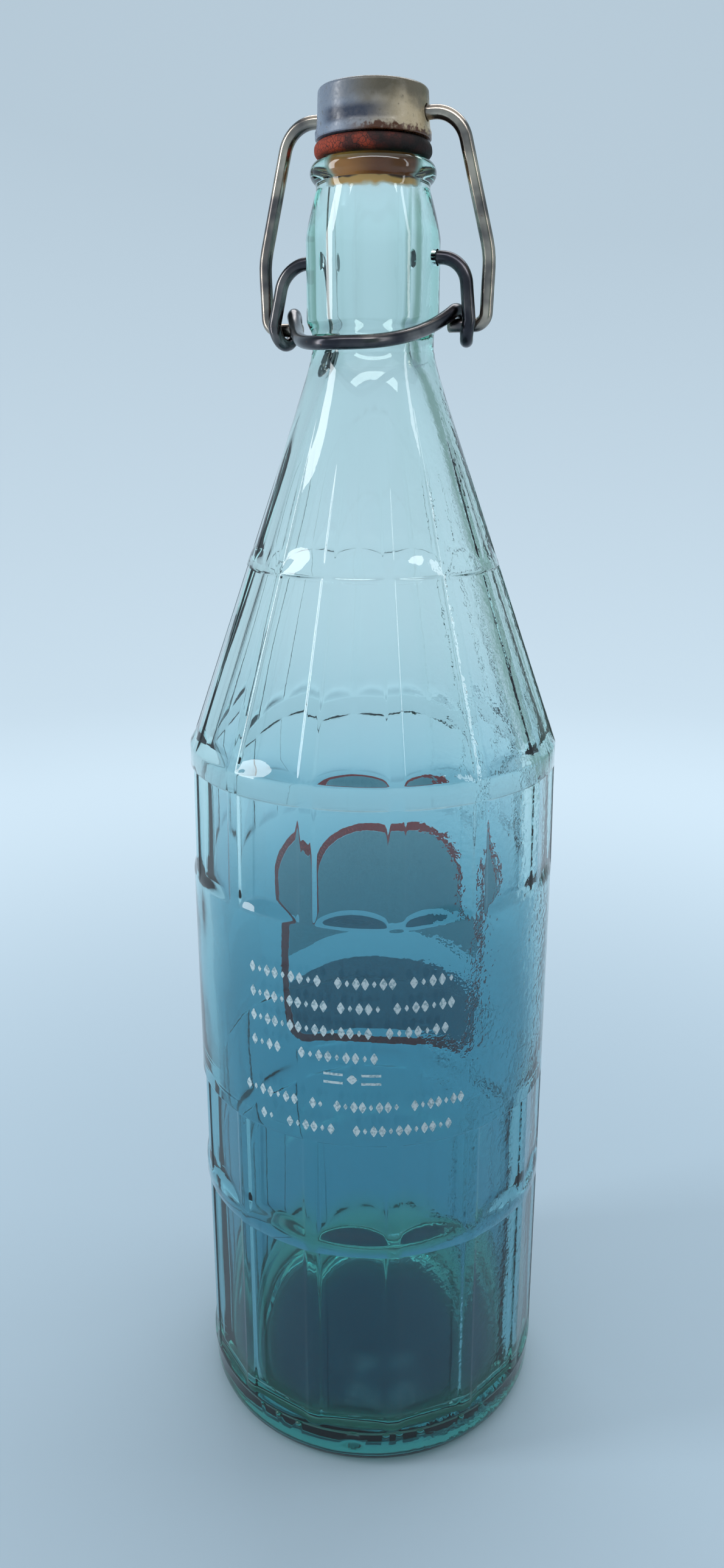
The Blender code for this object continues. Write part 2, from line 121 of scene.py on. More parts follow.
class Ray(str, Enum):
    """Kinds of ray that a lamp can be hidden from."""

    DIFFUSE = "visible_diffuse"
    GLOSSY = "visible_glossy"
    TRANSMISSION = "visible_transmission"


# Lines and meshes


def mix(start: Place, end: Place, share: float) -> Place:
    """Return the value that lies the given share of the way from start to end."""
    return start + (end - start) * share


def smooth_max(a: float, b: float, blend: float) -> float:
    """Return the larger value, rounded within the given difference of the two."""
    h = max(blend - abs(a - b), 0.0) / blend
    return max(a, b) + h * h * blend / 4


def smooth_min(a: float, b: float, blend: float) -> float:
    """Return the smaller value, rounded where the two meet."""
    return -smooth_max(-a, -b, blend)


def smooth_step(low: float, high: float, value: float) -> float:
    """Return 0 below low, 1 above high and a smooth change between them."""
    t = min(1.0, max(0.0, (value - low) / (high - low)))
    return t * t * (3 - 2 * t)


def turned(radius: float, angle: float, height: float) -> Vector:
    """Return the point at a radius and height, its angle counted from -Y towards +X."""
    return Vector((radius * math.sin(angle), -radius * math.cos(angle), height))


def away_from(angle: float, middle: float) -> float:
    """Return how far an angle is from another, from 0 to half a turn."""
    return abs((angle - middle + math.pi) % math.tau - math.pi)


def arc(centre: Pair, radius: float, start: float, end: float, steps: int) -> Profile:
    """Return (radius, height) points of an arc in the turning plane, both ends in.

    Args:
        centre: Radius and height of the arc's centre.
        radius: The arc's own radius.
        start: First angle, in degrees from outwards towards up.
        end: Last angle.
        steps: Number of chords.

    Returns:
        The points in order.
    """
    angles = [math.radians(mix(start, end, i / steps)) for i in range(steps + 1)]
    return [(centre[0] + radius * math.cos(a), centre[1] + radius * math.sin(a)) for a in angles]


def run(start: Pair, end: Pair, steps: int, ease: Callable[[float], float] = float) -> Profile:
    """Return the points after the first on the way between two (radius, height) points.

    Args:
        start: The point before the first.
        end: The last point.
        steps: Number of points.
        ease: Turns the share of the height into the share of the radius.

    Returns:
        The points in order.
    """
    shares = [step / steps for step in range(1, steps + 1)]
    return [(mix(start[0], end[0], ease(t)), mix(start[1], end[1], t)) for t in shares]


def bezier(controls: Sequence[Vector], steps: int) -> list[Vector]:
    """Return the points after the first along a smooth curve.

    Args:
        controls: Start, handles and end of the curve.
        steps: Number of points.

    Returns:
        The points in order.
    """
    path = []
    for step in range(1, steps + 1):
        points = list(controls)
        while len(points) > 1:
            points = [mix(a, b, step / steps) for a, b in zip(points, points[1:])]
        path += points
    return path


def evenly(count: int) -> list[float]:
    """Return the angles that divide a full turn evenly."""
    return [math.tau * i / count for i in range(count)]


def turned_rings(
    profile: Profile,
    angles: Sequence[float],
    shift: Callable[[float, float], float] = lambda angle, height: 0.0,
) -> list[Ring]:
    """Return round rings through a profile.

    Args:
        profile: Radius and height of each ring.
        angles: Angles of a ring's points.
        shift: Gives how far the point at an angle and a height lies outside the profile.

    Returns:
        The rings in order.
    """
    return [[turned(r + shift(a, z), a, z) for a in angles] for r, z in profile]


def link(name: str, data: bpy.types.ID) -> bpy.types.Object:
    """Return a new object of the scene.

    Args:
        name: Its name.
        data: Its mesh, lamp or camera.

    Returns:
        The object.
    """
    thing = bpy.data.objects.new(name, data)
    bpy.context.scene.collection.objects.link(thing)
    return thing


def mesh_of(bm: bmesh.types.BMesh, name: str) -> bpy.types.Mesh:
    """Return a mesh with its faces turned outwards, and free what it is made from.

    Args:
        bm: The vertices and faces.
        name: Name of the mesh.

    Returns:
        The mesh.
    """
    bmesh.ops.recalc_face_normals(bm, faces=bm.faces)
    mesh = bpy.data.meshes.new(name)
    bm.to_mesh(mesh)
    bm.free()
    return mesh


def shell(
    name: str, rings: Sequence[Ring], closed: bool = False, caps: Sequence[int] = ()
) -> bpy.types.Mesh:
    """Return a smooth mesh through rings of equally many points.

    Args:
        name: Name of the mesh.
        rings: The rings in order.
        closed: Whether the last ring joins the first.
        caps: Which rings are filled: 0 is the first and -1 the last.

    Returns:
        The mesh.
    """
    count = len(rings[0])
    rows = [range(i * count, (i + 1) * count) for i in range(len(rings))]
    faces = [
        (low[i], low[(i + 1) % count], high[(i + 1) % count], high[i])
        for low, high in zip(rows, rows[1:] + (rows[:1] if closed else []))
        for i in range(count)
    ]
    draft = bpy.data.meshes.new(name)
    draft.from_pydata(
        [point for ring in rings for point in ring], [], faces + [tuple(rows[cap]) for cap in caps]
    )
    bm = bmesh.new()
    bm.from_mesh(draft)
    bpy.data.meshes.remove(draft)
    mesh = mesh_of(bm, name)
    mesh.shade_smooth()
    return mesh


def rod(start: Vector, end: Vector, radius: float) -> bpy.types.Mesh:
    """Return a closed round rod, for carve().

    Args:
        start: Middle of one end.
        end: Middle of the other end.
        radius: Its radius.

    Returns:
        The mesh.
    """
    along = end - start
    turn = along.to_track_quat("Z", "Y").to_matrix().to_4x4()
    place = Matrix.Translation((start + end) / 2) @ turn
    size = {"radius1": radius, "radius2": radius, "depth": along.length}
    bm = bmesh.new()
    bmesh.ops.create_cone(bm, cap_ends=True, segments=ROD_SIDES, matrix=place, **size)
    return mesh_of(bm, "rod")


def ball(centre: Vector, radius: float) -> bpy.types.Mesh:
    """Return a closed ball, for carve().

    Args:
        centre: Its middle.
        radius: Its radius.

    Returns:
        The mesh.
    """
    bm = bmesh.new()
    place = Matrix.Translation(centre)
    fineness = {"u_segments": BALL_SIDES, "v_segments": BALL_ROWS}
    bmesh.ops.create_uvsphere(bm, radius=radius, matrix=place, **fineness)
    return mesh_of(bm, "ball")


def carve(mesh: bpy.types.Mesh, cutters: Sequence[bpy.types.Mesh], how: Carving) -> bpy.types.Mesh:
    """Cut closed meshes out of a mesh, or join them to it.

    Args:
        mesh: The mesh, which is used up.
        cutters: The closed meshes, which are used up too.
        how: Whether they are cut out or joined.

    Returns:
        The smooth result, under the old name.
    """
    bm = bmesh.new()
    for cutter in cutters:
        bm.from_mesh(cutter)
        bpy.data.meshes.remove(cutter)
    tool, block = link("tool", mesh_of(bm, "tool")), link("block", mesh)
    modifier = block.modifiers.new("carve", "BOOLEAN")
    modifier.operation = how.value
    modifier.solver = "EXACT"
    modifier.object = tool
    bpy.context.view_layer.update()
    graph = bpy.context.evaluated_depsgraph_get()
    result = bpy.data.meshes.new_from_object(block.evaluated_get(graph))
    name = mesh.name
    for used in (tool, block):
        data = used.data
        bpy.data.objects.remove(used)
        bpy.data.meshes.remove(data)
    result.name = name
    result.shade_smooth()
    return result


def add_piece(
    mesh: bpy.types.Mesh,
    material: bpy.types.Material,
    body: Body,
    slot: Slot | None = None,
    node: Node | None = None,
) -> None:
    """Add a finished mesh as a piece of the same name, and report it.

    Args:
        mesh: The mesh, in place.
        material: Its finish.
        body: The body that carries it.
        slot: Not used; it names the record's material slot, if its finish is one of them.
        node: The CAD node that it stands for, if it does.
    """
    mesh.materials.append(material)
    piece = link(mesh.name, mesh)
    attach(piece, body.value)
    if node:
        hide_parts(node.value)
    LOG.info("%s: %d faces on %s", piece.name, len(mesh.polygons), body.value)


# Finishes


def linear(hex_colour: str) -> tuple[float, float, float, float]:
    """Return the linear colour of an sRGB hex value."""
    parts = [int(hex_colour[i : i + 2], 16) / 255 for i in (1, 3, 5)]
    return (*(c / 12.92 if c <= 0.04045 else ((c + 0.055) / 1.055) ** 2.4 for c in parts), 1.0)


class Surface:
    """A new material: one way to add a node, and the mixes that finishes are made of."""

    def __init__(self, name: str) -> None:
        """Start the material with its Principled shader.

        Args:
            name: The material's name.
        """
        self.material = bpy.data.materials.new(name)
        self.material.use_nodes = True
        self.tree = self.material.node_tree
        self.shader = self.tree.nodes["Principled BSDF"]

    def add(
        self, kind: str, values: Sequence[Value] | dict[str, Value], out: str = "", **settings: str
    ) -> Socket:
        """Add a node, set its properties and fill or link its inputs.

        Args:
            kind: The node's type without the ShaderNode prefix.
            values: Its inputs by name, or those in use in their order.
            out: Name of the output, if it isn't the first in use.
            settings: Properties of the node itself.

        Returns:
            The output.
        """
        node = self.tree.nodes.new("ShaderNode" + kind)
        for key, value in settings.items():
            setattr(node, key, value)
        self.fill(node, values)
        return node.outputs[out] if out else next(o for o in node.outputs if o.enabled)

    def fill(self, node: bpy.types.Node, values: Sequence[Value] | dict[str, Value]) -> None:
        """Link outputs to a node's inputs, or set plain values and sRGB hex colours there.

        Args:
            node: The node.
            values: Its inputs by name, or those in use in their order.
        """
        if not isinstance(values, dict):
            values = dict(zip((i for i, s in enumerate(node.inputs) if s.enabled), values))
        for key, value in values.items():
            if isinstance(value, Socket):
                self.tree.links.new(value, node.inputs[key])
            else:
                node.inputs[key].default_value = linear(value) if isinstance(value, str) else value

    def finish(self, values: dict[str, Value]) -> bpy.types.Material:
        """Fill the shader's inputs and return the material."""
        self.fill(self.shader, values)
        return self.material

    def grain(self, size_mm: float, detail: float, stretch: tuple = (1.0, 1.0, 1.0)) -> Socket:
        """Return noise on the object.

        Args:
            size_mm: Rough width of its lumps.
            detail: How many finer layers it has.
            stretch: How much closer the lumps are along each axis.

        Returns:
            The noise, about 0 to 1.
        """
        place = self.add("TexCoord", (), "Object")
        place = self.add("Mapping", {"Vector": place, "Scale": stretch})
        inputs = {"Vector": place, "Scale": 1 / (size_mm * MM), "Detail": detail}
        return self.add("TexNoise", inputs)

    def places(self) -> tuple[Socket, Socket, Socket]:
        """Return where a point is, in metres.

        Returns:
            The place across the main view, the height, and the distance from the bottle's axis.
        """
        place = self.add("TexCoord", (), "Object")
        place = self.add("VectorRotate", {"Vector": place, "Angle": -VIEW_TURN})
        across, along, up = self.add("SeparateXYZ", (place,)).node.outputs
        level = self.add("CombineXYZ", (across, along))
        return across, up, self.add("VectorMath", (level,), operation="LENGTH")

    def steps(self, *parts: tuple[Value, ...]) -> Socket:
        """Return the product of smooth steps.

        Args:
            parts: For each step its value, where it starts and where it ends, and then the two
                results, if they aren't 0 and 1.

        Returns:
            The product.
        """
        steps = [self.add("MapRange", part, interpolation_type="SMOOTHSTEP") for part in parts]
        return reduce(lambda a, b: self.add("Math", (a, b), operation="MULTIPLY"), steps)

    def coats(self, ground: Value, *coats: tuple[Value, Value]) -> Socket:
        """Return a colour with others laid over it.

        Args:
            ground: The first colour.
            coats: The share and the colour of each coat, in order.

        Returns:
            The colour.
        """
        for share, colour in coats:
            ground = self.add("Mix", (share, ground, colour), data_type="RGBA")
        return ground


@dataclass(frozen=True)
class Relief:
    """A raised or pitted pattern of a finish: its full height and how strongly it shows."""

    height_mm: float
    strength: float

    def inputs(self, pattern: Socket) -> dict[str, Value]:
        """Return the inputs that give a bump this relief."""
        return {"Height": pattern, "Distance": self.height_mm * MM, "Strength": self.strength}


@dataclass(frozen=True)
class SodaLimeGlass:
    """Blown soda-lime glass: clear, pale aqua in the wall and deeper where it is thick."""

    tint: str = "#BEF8EE"
    density: float = 36.0
    clear: str = "#FBFFFF"
    deep: str = "#8AC3D2"
    green: str = "#8CCFB6"
    residue: str = "#A04A10"
    residue_painted_highlight: str = "#F08A3A"
    residue_pale: str = "#FFB466"
    residue_line: str = "#5A2606"
    ior: float = 1.52
    wave_mm: float = 16.0
    wave_stretch: tuple[float, float, float] = (1.0, 1.0, 0.55)
    waves: Relief = Relief(0.5, 0.35)
    pebble_mm: float = 1.7
    pebble_side: Change = (0.004, 0.022, 0.06, 1.0)
    pebbles: Relief = Relief(0.12, 0.7)
    clearing: Change = (0.110, 0.215)
    heel: Change = (0.022, 0.005)
    heel_ring: Change = (0.025, 0.036)
    lip: Change = (0.2996, 0.3010)
    rag_mm: float = 2.6
    rag: Change = (0.2, 0.8, -0.0005, 0.0005)
    film_foot: Change = (0.2950, 0.2966)
    film_top: Change = (0.3008, 0.3001)
    film_reach: Change = (0.0090, 0.0086)
    film_side: Change = (0.0082, 0.0068)
    film_painted_shading: Change = (-0.0055, 0.0010)
    upper_film: Change = (0.2974, 0.2990)
    line_foot: Change = (0.2974, 0.2980)
    line_top: Change = (0.2990, 0.2982)
    film_clarity: float = 0.2
    wear_mm: float = 1.1
    wear: Change = (0.62, 0.78, 0.004, 0.05)

    def make(self) -> bpy.types.Material:
        """Build the glass and return its material.

        Returns:
            The material.
        """
        mat = Surface("soda_lime_glass_aqua")
        across, up, away = mat.places()
        # Slow waves from blowing, and the orange peel that the mould leaves, strongest at the right
        waves = mat.grain(self.wave_mm, detail=1.0, stretch=self.wave_stretch)
        waves = mat.add("Bump", self.waves.inputs(waves))
        peel = (mat.grain(self.pebble_mm, detail=2.0), mat.steps((across, *self.pebble_side)))
        peel = mat.add("Math", peel, operation="MULTIPLY")
        normal = mat.add("Bump", self.pebbles.inputs(peel) | {"Normal": waves})
        # The colour deepens towards the bottom, and is green in the solid glass
        # of the heel and the lip
        heel = mat.steps((up, *self.heel), (away, *self.heel_ring))
        solid = mat.add("Math", (heel, mat.steps((up, *self.lip))), operation="MAXIMUM")
        # Rusty drink has dried on in the mouth, in two bands with a dark line between them; a
        # painted highlight makes the upper band lighter at the left
        rag = mat.steps((mat.grain(self.rag_mm, detail=1.0), *self.rag))
        ragged = mat.add("Math", (up, rag), operation="ADD")
        aside = mat.add("Math", (across,), operation="ABSOLUTE")
        soiled = mat.steps(
            (ragged, *self.film_foot),
            (up, *self.film_top),
            (away, *self.film_reach),
            (aside, *self.film_side),
        )
        # Painted highlight: the upper film turns from bright orange at the left to brown at the
        # right
        shade = mat.steps((across, *self.film_painted_shading))
        line = mat.steps((ragged, *self.line_foot), (ragged, *self.line_top))
        film = mat.coats(
            self.residue_pale,
            (
                mat.steps((ragged, *self.upper_film)),
                mat.coats(self.residue_painted_highlight, (shade, self.residue)),
            ),
            (line, self.residue_line),
        )
        # Handling wear makes faint matt specks
        worn = mat.steps((mat.grain(self.wear_mm, detail=4.0), *self.wear))
        volume = mat.add("VolumeAbsorption", (self.tint, self.density))
        mat.fill(mat.tree.nodes["Material Output"], {"Volume": volume})
        mat.fill(mat.shader, {"Transmission Weight": 1.0, "IOR": self.ior})
        colour = mat.coats(
            self.deep,
            (mat.steps((up, *self.clearing)), self.clear),
            (solid, self.green),
            (soiled, film),
        )
        return mat.finish(
            {
                "Base Color": colour,
                "Transmission Weight": mat.steps((soiled, 0.0, 1.0, 1.0, self.film_clarity)),
                "Roughness": mat.add("Math", (worn, soiled), operation="MAXIMUM"),
                "Normal": normal,
            }
        )


@dataclass(frozen=True)
class AgedSteelWire:
    """Drawn steel wire, smooth and shiny, with a dark patina in patches and small rust pits."""

    name: str = "aged_drawn_steel"
    bright: str = "#C6B9A8"
    patina: str = "#5A5657"
    rust: str = "#59402F"
    patch_mm: float = 9.0
    patches: Change = (0.34, 0.72)
    gloss: Change = (0.35, 0.70, 0.24, 0.14)
    pit_mm: float = 0.8
    pits: Change = (0.70, 0.80)
    pitting: Relief = Relief(0.01, 0.25)
    rust_metal: float = 0.4

    def make(self) -> bpy.types.Material:
        """Build the wire's steel and return its material.

        Returns:
            The material.
        """
        mat = Surface(self.name)
        patches = mat.grain(self.patch_mm, detail=3.0)
        pits = mat.grain(self.pit_mm, detail=2.0)
        rusted = mat.steps((pits, *self.pits))
        polished = mat.steps((patches, *self.patches))
        return mat.finish(
            {
                "Base Color": mat.coats(self.patina, (polished, self.bright), (rusted, self.rust)),
                "Metallic": mat.steps((rusted, 0.0, 1.0, 1.0, self.rust_metal)),
                "Roughness": mat.steps((patches, *self.gloss)),
                "Normal": mat.add("Bump", self.pitting.inputs(pits)),
            }
        )


@dataclass(frozen=True)
class MilkyPlastic:
    """Moulded milky plastic, translucent, worn glossy, drink-stained brown, with painted shade."""

    shaded_cool: str = "#67768A"
    shade_patch: str = "#232C40"
    shaded_cream: str = "#A89C80"
    stain: str = "#443F2E"
    dirt: str = "#4A2810"
    rust_water: str = "#C07A34"
    blotch_mm: float = 5.0
    blotch: Change = (0.25, 0.75, -0.0015, 0.0015)
    speck_mm: float = 0.9
    side: Change = (-0.008, 0.007)
    stain_height: Change = (0.3088, 0.3130)
    stain_side: Change = (-0.011, 0.002, 0.15, 0.90)
    shade_patch_foot: Change = (0.3066, 0.3082)
    shade_patch_top: Change = (0.3112, 0.3094)
    shade_patch_left: Change = (-0.0112, -0.0084)
    shade_patch_right: Change = (0.0060, -0.0030, 0.0, 0.95)
    crumbs: Change = (0.60, 0.74, 0.0, 0.55)
    dirt_rag: Change = (0.3, 0.7, -0.0007, 0.0007)
    dirt_top: Change = (0.3070, 0.3060)
    dirt_side: Change = (-0.007, 0.0)
    soaked: Change = (0.3055, 0.3053)
    gloss: Change = (0.3, 0.8, 0.22, 0.5)
    scratches: Relief = Relief(0.04, 0.4)
    milk: float = 0.12
    milk_reach: tuple[float, float, float] = (0.002, 0.0018, 0.0015)

    def make(self) -> bpy.types.Material:
        """Build the stopper's plastic and return its material.

        Returns:
            The material.
        """
        mat = Surface("moulded_milky_plastic")
        blotch = mat.grain(self.blotch_mm, detail=4.0)
        specks = mat.grain(self.speck_mm, detail=4.0)
        across, up, _ = mat.places()
        loose = mat.steps((blotch, *self.blotch))
        dirt_rag = mat.steps((specks, *self.dirt_rag))
        loose_across, loose_up, ragged = (
            mat.add("Math", pair, operation="ADD")
            for pair in ((across, loose), (up, loose), (up, dirt_rag))
        )
        # Painted shade: a soft dark blue patch over the left of the plug's side
        shade_patch = mat.steps(
            (up, *self.shade_patch_foot),
            (up, *self.shade_patch_top),
            (across, *self.shade_patch_left),
            (across, *self.shade_patch_right),
        )
        # Painted shade darkens the ground, cool grey at the left and cream at the right; over it
        # lie a stain over the upper half, a soft dark patch of painted shade, crumbs, a line of
        # dirt above the washer, and a spigot soaked with rusty drink
        colour = mat.coats(
            self.shaded_cool,
            (mat.steps((loose_across, *self.side)), self.shaded_cream),
            (mat.steps((loose_up, *self.stain_height), (across, *self.stain_side)), self.stain),
            (shade_patch, self.shade_patch),
            (mat.steps((specks, *self.crumbs)), self.stain),
            (mat.steps((ragged, *self.dirt_top), (across, *self.dirt_side)), self.dirt),
            (mat.steps((up, *self.soaked)), self.rust_water),
        )
        return mat.finish(
            {
                "Base Color": colour,
                "Roughness": mat.steps((specks, *self.gloss)),
                "Normal": mat.add("Bump", self.scratches.inputs(specks)),
                "Subsurface Weight": self.milk,
                "Subsurface Radius": self.milk_reach,
                "Subsurface Scale": 1.0,
            }
        )


@dataclass(frozen=True)
class AgedRubber:
    """Moulded red rubber, matt, perished to fine cracks and darkened on one side by painted shade.
    """

    unshaded_red: str = "#86301A"
    middle: str = "#3E120D"
    shade_dark: str = "#0E0606"
    crack: str = "#1E0907"
    patch_mm: float = 4.0
    patch: Change = (0.3, 0.7, -0.006, 0.006)
    painted_shading: Change = (-0.012, 0.010)
    half_shading: Change = (0.0, 0.5)
    full_shading: Change = (0.5, 1.0)
    crack_mm: float = 0.8
    crack_width: Change = (0.0, 0.08)
    crack_relief: Relief = Relief(0.08, 0.5)
    grain_mm: float = 0.5
    grain_relief: Relief = Relief(0.06, 0.6)
    roughness: float = 0.7
    shine: float = 0.3

    def make(self) -> bpy.types.Material:
        """Build the washer's rubber and return its material.

        Returns:
            The material.
        """
        mat = Surface("perished_red_rubber")
        # Painted shade: the red darkens to near black towards the right of the view, with a ragged
        # edge
        patch = mat.steps((mat.grain(self.patch_mm, detail=4.0), *self.patch))
        aside = mat.add("Math", (mat.places()[0], patch), operation="ADD")
        shade_share = mat.steps((aside, *self.painted_shading))
        half_shade, dark = (mat.add("MapRange", (shade_share, *part)) for part in (self.half_shading, self.full_shading))
        colour = mat.coats(self.unshaded_red, (half_shade, self.middle), (dark, self.shade_dark))
        place = mat.add("TexCoord", (), "Object")
        cells = {"Vector": place, "Scale": 1 / (self.crack_mm * MM)}
        edges = mat.add("TexVoronoi", cells, feature="DISTANCE_TO_EDGE")
        whole = mat.steps((edges, *self.crack_width))
        skin = mat.add("Bump", self.grain_relief.inputs(mat.grain(self.grain_mm, detail=5.0)))
        return mat.finish(
            {
                "Base Color": mat.coats(self.crack, (whole, colour)),
                "Roughness": self.roughness,
                "Specular IOR Level": self.shine,
                "Normal": mat.add("Bump", self.crack_relief.inputs(whole) | {"Normal": skin}),
            }
        )


@dataclass(frozen=True)
class FiredEnamel:
    """Screen-printed ceramic enamel, fired on: matt, with pinholes and rubbed edges.

    A thin layer lets some light through, by its glow.
    """

    name: str
    colour: str
    rubbed: str
    glow: float
    pinhole_mm: float = 0.6
    pinholes: Change = (0.40, 0.52)
    pitting: Relief = Relief(0.02, 0.4)
    roughness: float = 0.6

    def make(self) -> bpy.types.Material:
        """Build the enamel and return its material.

        Returns:
            The material.
        """
        mat = Surface(self.name)
        holes = mat.grain(self.pinhole_mm, detail=4.0)
        whole = mat.add("MapRange", (holes, *self.pinholes))
        return mat.finish(
            {
                "Base Color": mat.coats(self.rubbed, (whole, self.colour)),
                "Roughness": self.roughness,
                "Transmission Weight": self.glow,
                "Normal": mat.add("Bump", self.pitting.inputs(holes)),
            }
        )


@dataclass(frozen=True)
class StudioPaint:
    """Matt studio paint: bluer near the bottle, pale around it and greyer high above it."""

    floor: str = "#9DB1BF"
    wall: str = "#BFD1DD"
    high: str = "#8FA2AF"
    side: str = "#849E9D"
    floor_reach: Change = (0.10, 0.60)
    high_from: Change = (0.90, 1.70)
    side_start: Change = (0.44, 0.66)
    side_end: Change = (0.98, 0.78)
    side_reach: Change = (0.40, 1.00)

    def make(self) -> bpy.types.Material:
        """Build the paint and return its material.

        Returns:
            The material.
        """
        mat = Surface("matt_studio_paint")
        across, up, away = mat.places()
        aside = mat.add("Math", (across, away), operation="DIVIDE")
        # A slightly deeper field beyond the picture's right edge darkens the glass's right rim
        side = mat.steps(
            (aside, *self.side_start), (aside, *self.side_end), (away, *self.side_reach)
        )
        colour = mat.coats(
            self.floor,
            (mat.steps((away, *self.floor_reach)), self.wall),
            (side, self.side),
            (mat.steps((up, *self.high_from)), self.high),
        )
        return mat.finish({"Base Color": colour, "Roughness": 1.0, "Specular IOR Level": 0.0})


# Glass


@dataclass
class Bottle:
    """The one-piece glass bottle: panelled walls, label band, neck, collar and hollow.

    The offsets of the columns and the angles of the studs are in degrees.
    """

    panels: int = 14
    panel_depth_share: float = 0.0235
    foot_ledge: float = 0.0034
    head_ledge: float = 0.0005
    body_radius: float = 0.04394
    heel_radius: float = 0.04356
    shoulder_radius: float = 0.04355
    cone_top_radius: float = 0.0176
    throat_radius: float = 0.0133
    groove_radius: float = 0.0120
    lip_radius: float = 0.01335
    heel_inset: float = 0.0043
    heel_round: float = 0.0055
    heel_top: float = 0.0117
    foot_tier_top: float = 0.0626
    hip_tier_foot: float = 0.0666
    label_foot: float = 0.0927
    label_top: float = 0.1463
    label_slope: float = 0.0012
    chest_tier_top: float = 0.1727
    cone_foot: float = 0.1776
    lower_cone_top: float = 0.2186
    upper_cone_foot: float = 0.2204
    cone_top: float = 0.2506
    throat_foot: float = 0.2638
    throat_top: float = 0.2674
    collar_foot: float = 0.2706
    collar_top: float = 0.2866
    groove_height: float = 0.2965
    lip_top: float = 0.3018
    lip_round: float = 0.0024
    taper_power: float = 1.25
    flare_rows: int = 12
    root_rows: int = 8
    collar_rows: int = 4
    taper_rows: int = 10
    lip_rows: int = 16
    throat_row: float = 0.0004
    groove_edge: tuple[Pair, Pair] = ((0.0002, 0.0008), (0.00005, 0.0003))
    mould_step: float = 0.0002
    step_round: float = 0.00008
    fade: float = 0.0180
    rest_width: float = 0.0030
    rest_lift: float = 0.00005
    rest_edges: Pair = (0.0006, 0.0004)
    heel_rows: int = 8
    heel_step: tuple[float, float, float] = (0.0018, 0.0014, 0.0010)
    punt_height: float = 0.0035
    punt_shape: tuple[Pair, ...] = (
        (0.02, 1.0), (0.30, 1.0), (0.55, 0.93), (0.75, 0.70), (0.92, 0.22),
    )
    wall: float = 0.0038
    base_thickness: float = 0.0050
    bore_radius: float = 0.0082
    mouth_round: float = 0.0007
    mouth_rows: int = 4
    inner_heel: float = 0.0100
    inner_flare: float = 0.0075
    inner_row: float = 0.0068
    inner_cone_drop: float = 0.0008
    inner_chest_drop: float = 0.0035
    floor_shape: tuple[Pair, ...] = ((0.5, 0.6), (0.3, 1.0), (0.02, 1.0))
    wave_foot: Pair = (0.008, 0.030)
    wave_top: Pair = (0.262, 0.232)
    slow_wave: float = 0.0004
    slow_turns: float = 1.7
    slow_length: float = 0.045
    fine_wave: float = 0.00009
    fine_turns: float = 3.2
    fine_length: float = 0.012
    recess_radius: float = 0.0017
    recess_overshoot: float = 0.001
    dimple_radius: float = 0.0028
    dimple_depth: float = 0.0006
    dimple_height: float = 0.0076
    stud_radius: float = 0.0011
    stud_sink: float = 0.0006
    stud_places: tuple[Pair, ...] = (
        (-20.6, 0.0102), (-13.9, 0.0094), (-6.0, 0.0092), (23.6, 0.0096),
        (28.0, 0.0098), (35.1, 0.0096), (50.1, 0.0096), (58.7, 0.0102),
    )
    medallion_half: float = 0.0354
    medallion_foot: float = 0.0718
    medallion_corner: float = 0.0100
    medallion_edge: float = 0.0008
    medallion_row: float = 0.0006
    rib_half: float = math.radians(1.75)
    rib_side: float = math.radians(1.15)
    rib_drop: float = 0.0016
    fillet: float = 0.00040
    ledge_reach: float = 0.0008
    crest_reach: float = 0.0009
    crest_row: float = 0.00015
    plain_row: float = 0.005
    ledge_rows: int = 10
    crest_rows: int = 8
    fade_rows: int = 14
    label_rows: int = 5
    label_inset: float = 0.0004
    column_offsets: tuple[float, ...] = (
        0.0, 0.8, 1.4, 1.8, 2.15, 2.5, 2.85, 3.3, 3.9, 5.2, 7.2, 9.8,
    )
    sharp_angle: float = math.radians(45)
    glass: SodaLimeGlass = SodaLimeGlass()

    @property
    def panel_angle(self) -> float:
        """Return the angle from one rib to the next."""
        return math.tau / self.panels

    @property
    def cone_slope(self) -> float:
        """Return how much the cone narrows for each metre of its height."""
        return (self.shoulder_radius - self.cone_top_radius) / (self.cone_top - self.cone_foot)

    def column_angles(self) -> list[float]:
        """Return the angles of the columns: close at the ribs, wide on the panels.

        Returns:
            The angles in radians, all the way round.
        """
        half = [math.radians(offset) for offset in self.column_offsets]
        pattern = half + [self.panel_angle / 2] + [self.panel_angle - a for a in half[:0:-1]]
        return [i * self.panel_angle + a for i in range(self.panels) for a in pattern]

    def round_radius(self, z: float) -> float:
        """Return the radius of the round outer wall between the heel and the cone's top.

        Args:
            z: Height of the point.

        Returns:
            The radius.
        """
        stations = (
            (self.heel_top, self.body_radius),
            (self.label_foot, self.body_radius),
            (self.label_foot + self.label_slope, LABEL_RADIUS),
            (self.label_top - self.label_slope, LABEL_RADIUS),
            (self.label_top, self.body_radius),
            (self.chest_tier_top, self.shoulder_radius),
            (self.cone_foot, self.shoulder_radius),
            (self.cone_top, self.cone_top_radius),
        )
        for (low, low_radius), (high, high_radius) in zip(stations, stations[1:]):
            if z <= high:
                return mix(low_radius, high_radius, max(0.0, (z - low) / (high - low)))
        return self.cone_top_radius

    def tiers(self) -> tuple[tuple[float, float, float], ...]:
        """Return the tiers of panels, upwards.

        Returns:
            The foot and the head of each, and the height over which its panels run out.
        """
        return (
            (self.heel_top, self.foot_tier_top, 0.0),
            (self.hip_tier_foot, self.label_foot, 0.0),
            (self.label_top, self.chest_tier_top, 0.0),
            (self.cone_foot, self.lower_cone_top, 0.0),
            (self.upper_cone_foot, self.cone_top, self.fade),
        )

